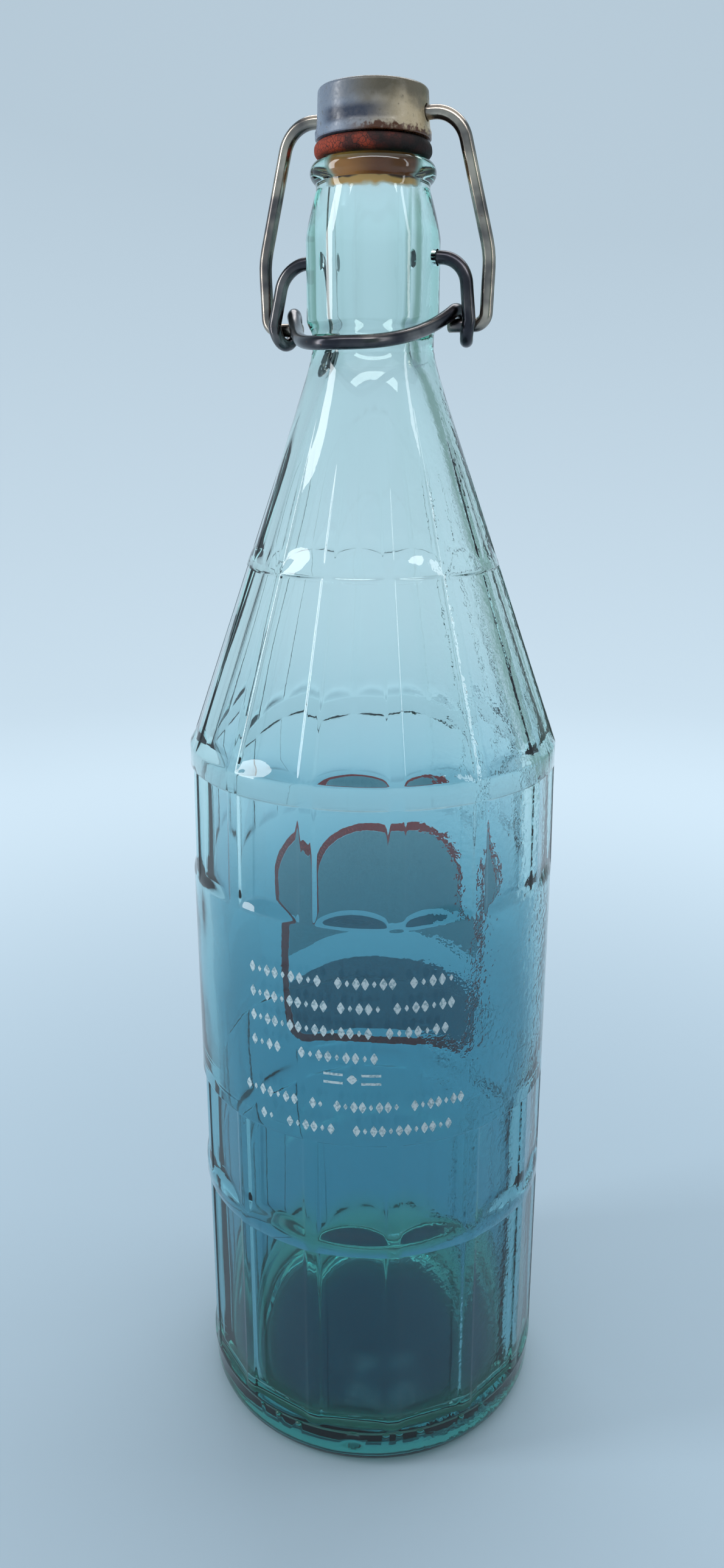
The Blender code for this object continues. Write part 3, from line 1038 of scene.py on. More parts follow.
    def panel_radius(self, angle: float, z: float, foot: float, head: float, fade: float) -> float:
        """Return the outer radius in a tier, where panels, ribs and ledges meet.

        Args:
            angle: The column's angle from -Y.
            z: Height of the point.
            foot: Where the tier's sloped foot starts.
            head: Where the tier ends.
            fade: Height over which the panels run out below the head, or 0.

        Returns:
            The radius.
        """
        outer = self.round_radius(z)
        scale = outer / self.body_radius
        fillet = self.fillet * scale
        from_rib = abs((angle + self.panel_angle / 2) % self.panel_angle - self.panel_angle / 2)
        depth = self.panel_depth_share * outer
        flat = (outer - depth) / math.cos(self.panel_angle / 2 - from_rib)
        side = smooth_step(self.rib_half, self.rib_half + 2 * self.rib_side, from_rib)
        raised = [
            outer - self.rib_drop * scale * side,
            outer - (z - foot) * depth / self.foot_ledge,
        ]
        if fade:
            flat = mix(flat, outer, smooth_step(head - fade, head, z))
        else:
            raised.append(outer - (head - z) * depth / self.head_ledge)
        radius = reduce(lambda a, b: smooth_max(a, b, fillet), raised, flat)
        return mix(smooth_min(radius, outer, fillet), LABEL_RADIUS, self.medallion_share(angle, z))

    def medallion_share(self, angle: float, z: float) -> float:
        """Return 1 on the smooth medallion that carries the panel at the back, 0 beside it.

        Args:
            angle: The column's angle from -Y.
            z: Height of the point.

        Returns:
            The share, from 0 to 1.
        """
        corner = self.medallion_corner
        beside = away_from(angle, BACK_MIDDLE) * LABEL_RADIUS - self.medallion_half + corner
        below = self.medallion_foot - z + corner
        outside = math.hypot(max(0.0, beside), max(0.0, below)) - corner
        return 1 - smooth_step(0.0, self.medallion_edge, outside) if z < self.label_top else 0.0

    def wall_heights(self) -> list[float]:
        """Return the heights of the rows of the panelled wall, close at the ledges.

        Returns:
            The heights in order.
        """
        heights = [self.medallion_foot + self.medallion_row * s for s in range(-2, 6)]
        for foot, head, fade in self.tiers():
            rows = range(-2, self.ledge_rows + 3)
            ledge = [foot + self.foot_ledge * s / self.ledge_rows for s in rows]
            crest, steps = [head], self.fade_rows
            if not fade:
                rows = range(self.crest_rows)
                crest = [head - self.crest_reach + self.crest_row * s for s in rows]
                steps = max(3, round((crest[0] - ledge[-1]) / self.plain_row))
            plain = [mix(ledge[-1], crest[0], s / steps) for s in range(1, steps)]
            heights += ledge + plain + crest
        low, high = self.label_foot + self.label_inset, self.label_top - self.label_inset
        rows = range(self.label_rows + 1)
        heights += [mix(low, high, s / self.label_rows) for s in rows]
        heights += [self.label_foot + self.label_slope, self.label_top - self.label_slope]
        return sorted(set(round(h, 6) for h in heights))

    def wall_radius(self, angle: float, z: float) -> float:
        """Return the outer radius of the panelled wall.

        Args:
            angle: The column's angle from -Y.
            z: Height of the point.

        Returns:
            The radius.
        """
        for foot, head, fade in self.tiers():
            if foot - self.ledge_reach <= z <= head + (0.0 if fade else self.ledge_reach / 4):
                return self.panel_radius(angle, z, foot, head, fade)
        return self.round_radius(z)

    def foot_profile(self) -> Profile:
        """Return the underside and the rounded heel, up to the first tier.

        Returns:
            The (radius, height) points, from the middle outwards and up.
        """
        rest = self.body_radius - self.heel_inset
        inner = rest - self.rest_width
        reach = self.heel_radius - rest
        turns = [math.pi / 2 * row / self.heel_rows for row in range(self.heel_rows + 1)]
        radii = (
            self.heel_radius,
            self.heel_radius + self.step_round,
            self.body_radius - self.step_round,
        )
        return [
            *((inner * share, self.punt_height * rise) for share, rise in self.punt_shape),
            (inner, self.rest_lift),
            (inner + self.rest_edges[0], 0.0),
            (rest - self.rest_edges[1], 0.0),
            *((rest + reach * math.sin(a), self.heel_round * (1 - math.cos(a))) for a in turns),
            *((radius, self.heel_top - drop) for radius, drop in zip(radii, self.heel_step)),
        ]

    def neck_profile(self) -> Profile:
        """Return the flare, throat, collar, taper and lip, up to the mouth.

        Returns:
            The (radius, height) points, upwards.
        """
        foot = self.throat_radius + self.mould_step
        knee = self.cone_top + (self.cone_top_radius - foot) / self.cone_slope
        bend = ((self.cone_top_radius, self.cone_top), (foot, knee), (foot, self.throat_foot))
        throat = (self.throat_radius, self.throat_top)
        collar = (COLLAR_RADIUS, self.collar_foot)
        shoulder = (COLLAR_RADIUS, self.collar_top)
        groove, bottom = (
            (self.groove_radius + out, self.groove_height - drop)
            for out, drop in self.groove_edge
        )
        centre = (self.lip_radius - self.lip_round, self.lip_top - self.lip_round)
        return [
            *map(tuple, bezier([Vector(place) for place in bend], self.flare_rows)),
            (self.throat_radius, self.throat_foot + self.throat_row),
            throat,
            *run(throat, collar, self.root_rows, lambda t: smooth_step(0.0, 1.0, t)),
            *run(collar, shoulder, self.collar_rows),
            *run(shoulder, groove, self.taper_rows, lambda t: t**self.taper_power),
            bottom,
            *arc(centre, self.lip_round, -60, 90, self.lip_rows),
        ]

    def inner_profile(self) -> Profile:
        """Return the bore and the hollow, from the mouth down to the floor's middle.

        Returns:
            The (radius, height) points, downwards.
        """
        cone_wall = self.wall * math.hypot(1, self.cone_slope)
        body = self.body_radius - self.wall
        cone_top = self.cone_top_radius - cone_wall
        floor = self.base_thickness + self.inner_heel
        mouth = (self.bore_radius + self.mouth_round, self.lip_top - self.mouth_round)
        corners = (
            (self.bore_radius, self.throat_foot),
            (mix(cone_top, self.bore_radius, 0.5), self.cone_top + self.inner_flare),
            (cone_top, self.cone_top),
            (self.shoulder_radius - cone_wall, self.cone_foot - self.inner_cone_drop),
            (self.shoulder_radius - self.wall, self.chest_tier_top - self.inner_chest_drop),
            (body, self.label_top),
            (body, floor),
        )
        profile = arc(mouth, self.mouth_round, 90, 180, self.mouth_rows)
        profile += [(self.bore_radius, mix(self.lip_top, self.throat_foot, 0.5)), corners[0]]
        for before, after in zip(corners, corners[1:]):
            profile += run(before, after, max(2, round((before[1] - after[1]) / self.inner_row)))
        heel = arc((body - self.inner_heel, floor), self.inner_heel, 0, -90, self.heel_rows)
        profile += heel[1:]
        return profile + [
            (body * share, self.base_thickness + self.punt_height * rise)
            for share, rise in self.floor_shape
        ]

    def inner_wave(self, angle: float, z: float) -> float:
        """Return how far the blown inner skin wanders from its even wall.

        Args:
            angle: The column's angle from -Y.
            z: Height of the point.

        Returns:
            The distance, outwards.
        """
        end, start = self.wave_top
        share = min(1.0, max(0.0, (end - z) / (end - start))) * smooth_step(*self.wave_foot, z)
        around = Vector((math.sin(angle), math.cos(angle)))
        slow = Vector((*around, z / self.slow_length)) * self.slow_turns
        fine = Vector((*around * self.fine_turns, z / self.fine_length))
        wave = self.slow_wave * noise.noise(slow) + self.fine_wave * noise.noise(fine)
        return share * wave

    def hollows(self) -> list[bpy.types.Mesh]:
        """Return the cutters of the two recesses in the collar and the dimple in the heel.

        Returns:
            The closed meshes.
        """
        cutters = []
        for side in (-1, 1):
            reach = (COLLAR_RADIUS - RECESS_DEPTH, COLLAR_RADIUS + self.recess_overshoot)
            start, end = (Vector((side * x, 0, PIVOT_HEIGHT)) for x in reach)
            cutters.append(rod(start, end, self.recess_radius))
        depth = self.dimple_depth
        radius = (self.dimple_radius**2 + depth**2) / (2 * depth)
        out = self.heel_radius + radius - depth
        return cutters + [ball(turned(out, self.panel_angle / 2, self.dimple_height), radius)]

    def studs(self) -> list[bpy.types.Mesh]:
        """Return the generic raised studs of the heel.

        Returns:
            The closed meshes.
        """
        out = self.heel_radius - self.stud_sink
        middles = [turned(out, math.radians(a), z) for a, z in self.stud_places]
        return [ball(middle, self.stud_radius) for middle in middles]

    def build(self) -> None:
        """Build and dress the glass."""
        angles = self.column_angles()
        rings = turned_rings(self.foot_profile(), angles)
        rings += turned_rings([(0.0, z) for z in self.wall_heights()], angles, self.wall_radius)
        rings += turned_rings(self.neck_profile(), angles)
        rings += turned_rings(self.inner_profile(), angles, self.inner_wave)
        mesh = carve(shell("glass_body", rings, caps=(0, -1)), self.hollows(), Carving.CUT)
        mesh = carve(mesh, self.studs(), Carving.JOIN)
        mesh.set_sharp_from_angle(angle=self.sharp_angle)
        add_piece(mesh, self.glass.make(), Body.BOTTLE, Slot.GLASS, Node.GLASS)


# Print


@dataclass
class LabelPrint:
    """Generic white enamel marks on the label band: rows of lozenges and a divider.

    Rows and rules give their height, and from and to which angles in degrees they run.
    """

    mark_height: float = 0.0029
    mark_width: float = 0.0017
    pitch: float = 0.0020
    small_share: float = 0.55
    corners: int = 16
    plumpness: float = 1.7
    rows: tuple[tuple[float, tuple[Pair, ...]], ...] = (
        (0.1333, ((-20.0, 4.4), (7.9, 26.0), (29.5, 43.6))),
        (0.1273, ((-20.0, 6.1), (8.6, 21.9), (24.8, 43.8))),
        (0.1213, ((-20.0, 19.1), (22.6, 42.0))),
        (0.1151, ((-20.0, -8.8), (-3.5, 20.9))),
        (0.1028, ((-22.9, -3.4), (0.0, 4.7), (7.4, 27.4), (30.4, 47.6))),
        (0.0967, ((-17.2, -11.6), (-7.7, 8.0), (13.1, 43.6))),
    )
    rule_height: float = 0.1098
    rules: tuple[Pair, ...] = ((4.6, 10.4), (15.8, 21.6))
    rule_gap: float = 0.0021
    rule_width: float = 0.0006
    dot: float = 13.1
    dot_size: float = 0.0024
    enamel: FiredEnamel = FiredEnamel("white_fired_enamel", "#AEC7D2", "#7299A9", 0.25)

    def plate(self, bm: bmesh.types.BMesh, outline: Profile) -> None:
        """Add one thin closed plate that lies on the band.

        Args:
            bm: The mesh that the plate is added to.
            outline: Angle in radians and height of each corner, in order.
        """
        middle = [sum(values) / len(outline) for values in zip(*outline)]
        loops = []
        for radius in (PRINT_FOOT, PRINT_FACE):
            loop = [bm.verts.new(turned(radius, *place)) for place in outline]
            centre = bm.verts.new(turned(radius, *middle))
            for i, vert in enumerate(loop):
                bm.faces.new((loop[i - 1], vert, centre))
            loops.append(loop)
        foot, face = loops
        for i in range(len(outline)):
            bm.faces.new((foot[i - 1], foot[i], face[i], face[i - 1]))

    def lozenge(self, angle: float, z: float, width: float, height: float) -> Profile:
        """Return the outline of a plump lozenge.

        Args:
            angle: Angle of its middle, in radians.
            z: Height of its middle.
            width: Its width.
            height: Its height.

        Returns:
            Angle and height of each corner.
        """
        outline = []
        for a in evenly(self.corners):
            x, y = (math.copysign(abs(v) ** self.plumpness, v) for v in (math.cos(a), math.sin(a)))
            outline.append((angle + x * width / 2 / LABEL_RADIUS, z + y * height / 2))
        return outline

    def bar(self, start: float, end: float, z: float, lengths: int = 4) -> list[Profile]:
        """Return a short rule, cut in lengths that follow the curve.

        Args:
            start: First angle, in degrees.
            end: Last angle.
            z: Height of its middle.
            lengths: Number of lengths.

        Returns:
            The outline of each length.
        """
        low, high = z - self.rule_width / 2, z + self.rule_width / 2
        cuts = [math.radians(mix(start, end, i / lengths)) for i in range(lengths + 1)]
        return [[(a, low), (b, low), (b, high), (a, high)] for a, b in zip(cuts, cuts[1:])]

    def outlines(self) -> list[Profile]:
        """Return the outlines of all marks, the divider's included.

        Returns:
            Angle and height of each corner of each mark.
        """
        dot = (math.radians(self.dot), self.rule_height, self.dot_size, self.dot_size)
        marks = [self.lozenge(*dot)]
        for z, runs in self.rows:
            for start, end in runs:
                count = max(2, round(math.radians(end - start) * LABEL_RADIUS / self.pitch))
                for i in range(count):
                    angle = math.radians(mix(start, end, (i + 0.5) / count))
                    share = self.small_share if i % 3 == 1 else 1.0
                    size = (self.mark_width * share, self.mark_height * share)
                    marks.append(self.lozenge(angle, z, *size))
        for start, end in self.rules:
            for side in (-1, 1):
                marks += self.bar(start, end, self.rule_height + side * self.rule_gap / 2)
        return marks

    def build(self) -> None:
        """Build and dress the white print."""
        bm = bmesh.new()
        for outline in self.outlines():
            self.plate(bm, outline)
        add_piece(mesh_of(bm, "print_front"), self.enamel.make(), Body.BOTTLE)


@dataclass
class BackPanel:
    """Generic arched enamel panel on the medallion at the back, with a red border."""

    half_angle: float = math.radians(44.0)
    foot: float = 0.0735
    shoulder: float = 0.1295
    crown: float = 0.1417
    corner: float = 0.0095
    least_corner: float = 0.0004
    border: float = 0.0024
    seam: float = 0.0001
    arc_points: int = 24
    band_foot: float = 0.1010
    band_top: float = 0.1100
    band_sag: float = 0.0055
    columns: int = 48
    rows: int = 10
    red: FiredEnamel = FiredEnamel("red_fired_enamel", "#FF3A30", "#E02A20", 0.9)
    slate: FiredEnamel = FiredEnamel("slate_fired_enamel", "#A2BECA", "#8AA8B3", 0.75)
    pale: FiredEnamel = FiredEnamel("pale_fired_enamel", "#D6E2E4", "#BFCFD2", 0.8)

    def outline(self, inset: float) -> Profile:
        """Return the arched outline of the panel.

        Args:
            inset: Distance by which it is drawn in.

        Returns:
            Angle and height of its points, in order.
        """
        half = self.half_angle * LABEL_RADIUS - inset
        foot, crown, shoulder = self.foot + inset, self.crown - inset, self.shoulder - inset
        corner = max(self.least_corner, self.corner - inset)
        turns = [math.pi / 2 * i / (self.arc_points - 1) for i in range(self.arc_points)]
        right = [
            (half + corner * (math.sin(a) - 1), foot + corner * (1 - math.cos(a)))
            for a in turns
        ]
        right += [(half * math.cos(a), mix(shoulder, crown, math.sin(a))) for a in turns]
        loop = right + [(-x, z) for x, z in reversed(right[:-1])]
        return [(BACK_MIDDLE + x / LABEL_RADIUS, z) for x, z in loop]

    def sheet(self, name: str, rows: Sequence[Profile], ring: bool) -> bpy.types.Mesh:
        """Return a thin closed sheet through rows of points.

        Args:
            name: Name of the mesh.
            rows: Rows with equally many points, each its angle and height.
            ring: Whether each row closes on itself.

        Returns:
            The mesh.
        """
        bm = bmesh.new()
        foot, face = (
            [[bm.verts.new(turned(radius, *place)) for place in row] for row in rows]
            for radius in (PRINT_FOOT, PRINT_FACE)
        )
        strips = [pair for layer in (foot, face) for pair in zip(layer, layer[1:])]
        for end in (0, -1):
            strips.append((foot[end], face[end]))
            if not ring:
                strips.append(([row[end] for row in foot], [row[end] for row in face]))
        for low, high in strips:
            for i in range(0 if ring else 1, len(low)):
                bm.faces.new((low[i - 1], low[i], high[i], high[i - 1]))
        return mesh_of(bm, name)

    def limits(self, x: float) -> tuple[float, float, float, float]:
        """Return where the two fields lie at a distance from the panel's middle.

        Args:
            x: The distance, along the glass.

        Returns:
            The heights where the lower field starts and ends, then those of the upper field.
        """
        inset = self.border + self.seam
        half = self.half_angle * LABEL_RADIUS - inset
        corner = self.corner - inset
        into = max(0.0, abs(x) - half + corner)
        foot = self.foot + inset + corner - math.sqrt(max(0.0, corner * corner - into * into))
        rise = math.sqrt(max(0.0, 1 - (x / half) ** 2))
        crown = self.shoulder - inset + (self.crown - self.shoulder) * rise
        sag = self.band_sag * (x / half) ** 2
        return foot, self.band_foot - sag, self.band_top - sag, crown

    def field_rows(self, part: int) -> list[Profile]:
        """Return the rows of a field, closer at its sides.

        Args:
            part: Where limits() gives the field's foot: 0 for the lower field, 2 for the upper.

        Returns:
            Angle and height of each point of each row.
        """
        half = self.half_angle * LABEL_RADIUS - self.border - self.seam
        swings = [math.sin(math.pi * (i / self.columns - 0.5)) for i in range(self.columns + 1)]
        columns = [(half * swing, self.limits(half * swing)[part : part + 2]) for swing in swings]
        shares = [step / self.rows for step in range(self.rows + 1)]
        return [
            [(BACK_MIDDLE + x / LABEL_RADIUS, mix(*ends, share)) for x, ends in columns]
            for share in shares
        ]

    def build(self) -> None:
        """Build and dress the border and the two fields."""
        edge = [self.outline(0.0), self.outline(self.border)]
        for name, rows, ring, enamel in (
            ("print_back_border", edge, True, self.red),
            ("print_back_lower_field", self.field_rows(0), False, self.slate),
            ("print_back_upper_field", self.field_rows(2), False, self.pale),
        ):
            add_piece(self.sheet(name, rows, ring), enamel.make(), Body.BOTTLE)


# Wires


def rounded_path(corners: Sequence[Vector], radii: Sequence[float], step: float) -> list[Vector]:
    """Return points along straight runs whose inner corners are bent.

    Args:
        corners: Ends and corners of the straight runs.
        radii: Bend radius at each inner corner.
        step: Largest angle between the points of a bend.

    Returns:
        The points of the centre line.
    """
    path = [corners[0]]
    for before, corner, after, radius in zip(corners, corners[1:], corners[2:], radii):
        back = (before - corner).normalized()
        ahead = (after - corner).normalized()
        half = back.angle(ahead) / 2
        centre = corner + (back + ahead).normalized() * radius / math.sin(half)
        first = corner + back * radius / math.tan(half) - centre
        last = corner + ahead * radius / math.tan(half) - centre
        bend = math.pi - 2 * half
        steps = max(3, math.ceil(bend / step))
        for i in range(steps + 1):
            gone = bend * i / steps
            swing = first * math.sin(bend - gone) + last * math.sin(gone)
            path.append(centre + swing / math.sin(bend))
    return path + [corners[-1]]


def mirrored(half: list[Vector]) -> list[Vector]:
    """Return a half path that ends on X = 0 and goes on as its mirror image."""
    return half + [Vector((-p.x, p.y, p.z)) for p in reversed(half[:-1])]


def spaced(path: Sequence[Vector], longest: float) -> list[Vector]:
    """Return a path with its long runs cut up.

    Args:
        path: The points of the path.
        longest: The longest run that may be left.

    Returns:
        The points of the path and the ones between them.
    """
    points = [path[0]]
    for start, end in zip(path, path[1:]):
        steps = max(1, math.ceil((end - start).length / longest))
        points += [mix(start, end, i / steps) for i in range(1, steps + 1)]
    return points


@dataclass
class Wire:
    """A round drawn wire along a centre line, a little uneven from bending and wear."""

    name: str
    path: list[Vector]
    body: Body
    node: Node
    steel: AgedSteelWire
    radius: float
    sides: int = 20
    longest_step: float = 0.0012
    uneven: float = 0.00003
    dent_size: float = 0.0035
    end_share: float = 0.86
    end_edge: float = 0.0002
    sharp_angle: float = math.radians(50)

    def reach(self, place: Vector, share: float) -> float:
        """Return how far the worn skin lies from the centre line.

        Args:
            place: A point of the even skin.
            share: Share of the wire's radius that the ring has.

        Returns:
            The distance.
        """
        dent = self.uneven * noise.noise(place / self.dent_size)
        return self.radius * share + min(0.0, dent)

    def rings(self) -> list[Ring]:
        """Return the rings of the wire, with a cut edge at both ends.

        Returns:
            The rings in order.
        """
        points = spaced(self.path, self.longest_step)
        last = len(points) - 1
        side = (points[1] - points[0]).orthogonal()
        rings = []
        for i, point in enumerate(points):
            along = (points[min(i + 1, last)] - points[max(i - 1, 0)]).normalized()
            side = (side - along * side.dot(along)).normalized()
            other = along.cross(side)
            outs = [side * math.cos(a) + other * math.sin(a) for a in evenly(self.sides)]
            share = self.end_share if i in (0, last) else 1.0
            skin = [point + out * self.radius for out in outs]
            rings.append([point + o * self.reach(place, share) for o, place in zip(outs, skin)])
            if i == 0:
                rings.append([place + along * self.end_edge for place in skin])
            if i == last - 1:
                base = points[last] - along * self.end_edge
                rings.append([base + out * self.radius for out in outs])
        return rings

    def build(self) -> None:
        """Build and dress the wire."""
        mesh = shell(self.name, self.rings(), caps=(0, -1))
        mesh.set_sharp_from_angle(angle=self.sharp_angle)
        add_piece(mesh, self.steel.make(), self.body, Slot.STEEL, self.node)


@dataclass
class Closure:
    """The two bent wires of the closure and the places that they share."""

    wire_radius: float = 0.0014
    fit: float = 0.0003
    pivot: Vector = field(default_factory=lambda: Vector((0, 0, PIVOT_HEIGHT)))
    crossbar: Vector = field(default_factory=lambda: Vector((0, 0, CROSSBAR_HEIGHT)))
    leg_corner: float = 0.0203
    leg_foot: float = 0.0222
    leg_bend: float = 0.0063
    eye_drop: float = 0.0135
    eye_setback: float = 0.0005
    eye_shift: float = 0.0040
    eye_turn: float = math.radians(270)
    eye_steps: int = 54
    bow_reach: float = 0.0237
    bow_drop: float = 0.0178
    bow_leaving: float = math.radians(34)
    bow_turn_in: float = 0.45
    bow_side_handle: float = 0.0125
    bow_front_handle: float = 0.0085
    bow_steps: int = 30
    bail_top: float = 0.01865
    bail_elbow: float = 0.0255
    bail_foot: float = 0.0250
    bail_pin: float = 0.0081
    bail_drop: float = 0.0271
    bail_bends: tuple[float, float, float] = (0.0025, 0.0180, 0.0070)
    bend_step: float = math.radians(6)
    bail_steel: AgedSteelWire = AgedSteelWire()
    lever_steel: AgedSteelWire = AgedSteelWire("darkened_drawn_steel", "#7E7A78", "#36363C")

    @property
    def eye_centre(self) -> Vector:
        """Return the middle of the lever's eyes."""
        return self.pivot + Vector((0, self.eye_setback, -self.eye_drop))

    @property
    def eye_radius(self) -> float:
        """Return the radius of an eye's centre line."""
        return 2 * self.wire_radius + self.fit

    def eye_point(self, angle: float, spread: float) -> Vector:
        """Return a point of the lever's eye.

        Args:
            angle: Its angle, counted from the front and down.
            spread: Its distance from the bottle's middle plane.

        Returns:
            The point.
        """
        front, down = (self.eye_radius * part(angle) for part in (math.cos, math.sin))
        return self.eye_centre + Vector((spread, -front, -down))

    def lever_path(self) -> list[Vector]:
        """Return the lever's centre line, from one tip over both eyes to the other tip.

        Returns:
            The points in order.
        """
        leg = math.hypot(self.eye_setback, self.eye_drop)
        first = math.atan2(self.eye_setback, self.eye_drop) - math.asin(self.eye_radius / leg)
        last = self.eye_turn + self.bow_leaving
        tip = self.pivot + Vector((COLLAR_RADIUS - RECESS_DEPTH + self.fit, 0, 0))
        corner = self.pivot + Vector((self.leg_corner, 0, 0))
        corners = [tip, corner, self.eye_point(first, self.leg_foot)]
        half = rounded_path(corners, [self.leg_bend], self.bend_step)
        for step in range(1, self.eye_steps + 1):
            share = step / self.eye_steps
            spread = self.leg_foot - self.eye_shift * share
            half.append(self.eye_point(mix(first, last, share), spread))
        away = (-self.bow_turn_in, -math.cos(self.bow_leaving), -math.sin(self.bow_leaving))
        apex = self.pivot + Vector((0, -self.bow_reach, -self.bow_drop))
        near_handle = half[-1] + Vector(away).normalized() * self.bow_side_handle
        far_handle = apex + Vector((self.bow_front_handle, 0, 0))
        half += bezier([half[-1], near_handle, far_handle, apex], self.bow_steps)
        return mirrored(half)

    def bail_path(self) -> list[Vector]:
        """Return the bail's centre line, from one pin over the crossbar to the other pin.

        Returns:
            The points in order.
        """
        corners = [
            self.eye_centre + Vector((self.bail_foot - self.bail_pin, 0, 0)),
            self.eye_centre + Vector((self.bail_foot, 0, 0)),
            self.crossbar + Vector((self.bail_elbow, self.eye_setback, -self.bail_drop)),
            self.crossbar + Vector((self.bail_top, 0, 0)),
            self.crossbar,
        ]
        return mirrored(rounded_path(corners, self.bail_bends, self.bend_step))

    def build(self) -> None:
        """Build and dress the lever and the bail."""
        lever, bail = self.lever_path(), self.bail_path()
        for plan in (
            ("lever_bent_wire", lever, Body.LEVER, Node.LEVER, self.lever_steel),
            ("bail_bent_wire", bail, Body.BAIL, Node.BAIL, self.bail_steel),
        ):
            Wire(*plan, self.wire_radius).build()


# Stopper and washer


@dataclass
class Stopper:
    """The milky plug with its flange and spigot, and the rubber washer below it."""

    foot: float = 0.3056
    top: float = 0.3152
    dish: tuple[Pair, ...] = ((0.0003, 0.0001), (0.006, 0.00005))
    top_radius: float = 0.01155
    waist_radius: float = 0.0118
    flange_radius: float = 0.0122
    flange_height: float = 0.0014
    flange_edge: float = 0.0002
    edge_round: float = 0.0008
    edge_rows: int = 6
    side_rows: int = 8
    spigot_radius: float = 0.0062
    spigot_root: float = 0.0003
    bead_radius: float = 0.0071
    nose_radius: float = 0.0054
    nose_edge: float = 0.0004
    bead_top: float = 0.3018
    bead_drops: Pair = (0.0010, 0.0016)
    nose_foot: float = 0.2970
    bore_radius: float = 0.0017
    bore_overshoot: float = 0.002
    seam_angle: float = math.radians(-47)
    seam_half: float = math.radians(1.6)
    seam_depth: float = 0.00008
    sink: float = 0.00005
    sink_turns: float = 1.4
    sink_length: float = 0.012
    washer_foot: float = 0.3021
    washer_thickness: float = 0.0032
    washer_radius: float = 0.0124
    washer_round: float = 0.0014
    washer_hole: float = 0.0065
    rim_shrinkage: float = 0.00010
    rim_cracks: float = 0.00004
    rim_turns: float = 4.0
    rim_length: float = 0.003
    crack_turns: float = 3.0
    columns: int = 96
    plug_sharp_angle: float = math.radians(40)
    washer_sharp_angle: float = math.radians(50)
    plastic: MilkyPlastic = MilkyPlastic()
    rubber: AgedRubber = AgedRubber()

    def wear(self, angle: float, z: float) -> float:
        """Return how far wear, sink marks and the mould's seam take the plug's side.

        Args:
            angle: The column's angle from -Y.
            z: Height of the point.

        Returns:
            The distance, outwards and so never above 0.
        """
        seam = max(0.0, 1 - away_from(angle, self.seam_angle) / self.seam_half)
        around = Vector((math.sin(angle), math.cos(angle), z / self.sink_length)) * self.sink_turns
        return -self.seam_depth * seam - self.sink * (1 + noise.noise(around)) / 2

    def perish(self, angle: float, z: float) -> float:
        """Return how far the washer has shrunk and cracked.

        Args:
            angle: The column's angle from -Y.
            z: Height of the point.

        Returns:
            The distance, outwards and so never above 0.
        """
        reach = self.rim_turns
        around = Vector(
            (math.sin(angle) * reach, math.cos(angle) * reach, z / self.rim_length)
        )
        shrunk = self.rim_shrinkage * max(0.0, noise.noise(around))
        return -shrunk - self.rim_cracks * abs(noise.noise(around * self.crack_turns))

    def plug_profile(self) -> Profile:
        """Return the plug's outline, from the middle of its top to its nose.

        Returns:
            The (radius, height) points, outwards and down.
        """
        middle = (self.top_radius - self.edge_round, self.top - self.edge_round)
        edge = arc(middle, self.edge_round, 90, 0, self.edge_rows)
        flange_top = self.foot + self.flange_height
        waist = (self.waist_radius, flange_top + self.flange_height)
        return [
            *((radius, self.top - drop) for radius, drop in self.dish),
            *edge,
            *run(edge[-1], waist, self.side_rows),
            (mix(self.waist_radius, self.flange_radius, 0.4), mix(waist[1], flange_top, 0.6)),
            (self.flange_radius, flange_top),
            (self.flange_radius, self.foot + self.flange_edge),
            (self.flange_radius - self.flange_edge, self.foot),
            (self.spigot_radius + self.spigot_root, self.foot),
            (self.spigot_radius, self.foot - self.spigot_root),
            (self.spigot_radius, self.bead_top),
            *((self.bead_radius, self.bead_top - drop) for drop in self.bead_drops),
            (mix(self.bead_radius, self.nose_radius, 0.5), self.nose_foot + 4 * self.nose_edge),
            (self.nose_radius, self.nose_foot + self.nose_edge),
            (self.nose_radius - self.nose_edge, self.nose_foot),
        ]

    def build_plug(self) -> None:
        """Build and dress the plug, bored for the bail."""
        rings = turned_rings(self.plug_profile(), evenly(self.columns), self.wear)
        reach = Vector((self.flange_radius + self.bore_overshoot, 0, 0))
        middle = Vector((0, 0, CROSSBAR_HEIGHT))
        bore = rod(middle - reach, middle + reach, self.bore_radius)
        mesh = carve(shell("stopper_plug", rings, caps=(0, -1)), [bore], Carving.CUT)
        mesh.set_sharp_from_angle(angle=self.plug_sharp_angle)
        add_piece(mesh, self.plastic.make(), Body.STOPPER, Slot.PLASTIC, Node.STOPPER)

    def build_washer(self) -> None:
        """Build and dress the washer."""
        foot, top = self.washer_foot, self.washer_foot + self.washer_thickness
        rim = self.washer_radius - self.washer_round
        profile = [
            (self.washer_hole, foot),
            (mix(self.washer_hole, rim, 0.5), foot),
            *arc((rim, foot + self.washer_round), self.washer_round, -90, 0, self.edge_rows),
            *arc((rim, top - self.washer_round), self.washer_round, 0, 90, self.edge_rows),
            (mix(self.washer_hole, rim, 0.5), top),
            (self.washer_hole, top),
        ]
        rings = turned_rings(profile, evenly(2 * self.columns), self.perish)
        mesh = shell("rubber_washer", rings, closed=True)
        mesh.set_sharp_from_angle(angle=self.washer_sharp_angle)
        add_piece(mesh, self.rubber.make(), Body.STOPPER, Slot.RUBBER, Node.WASHER)

    def build(self) -> None:
        """Build the plug and its washer."""
        self.build_plug()
        self.build_washer()


# Studio


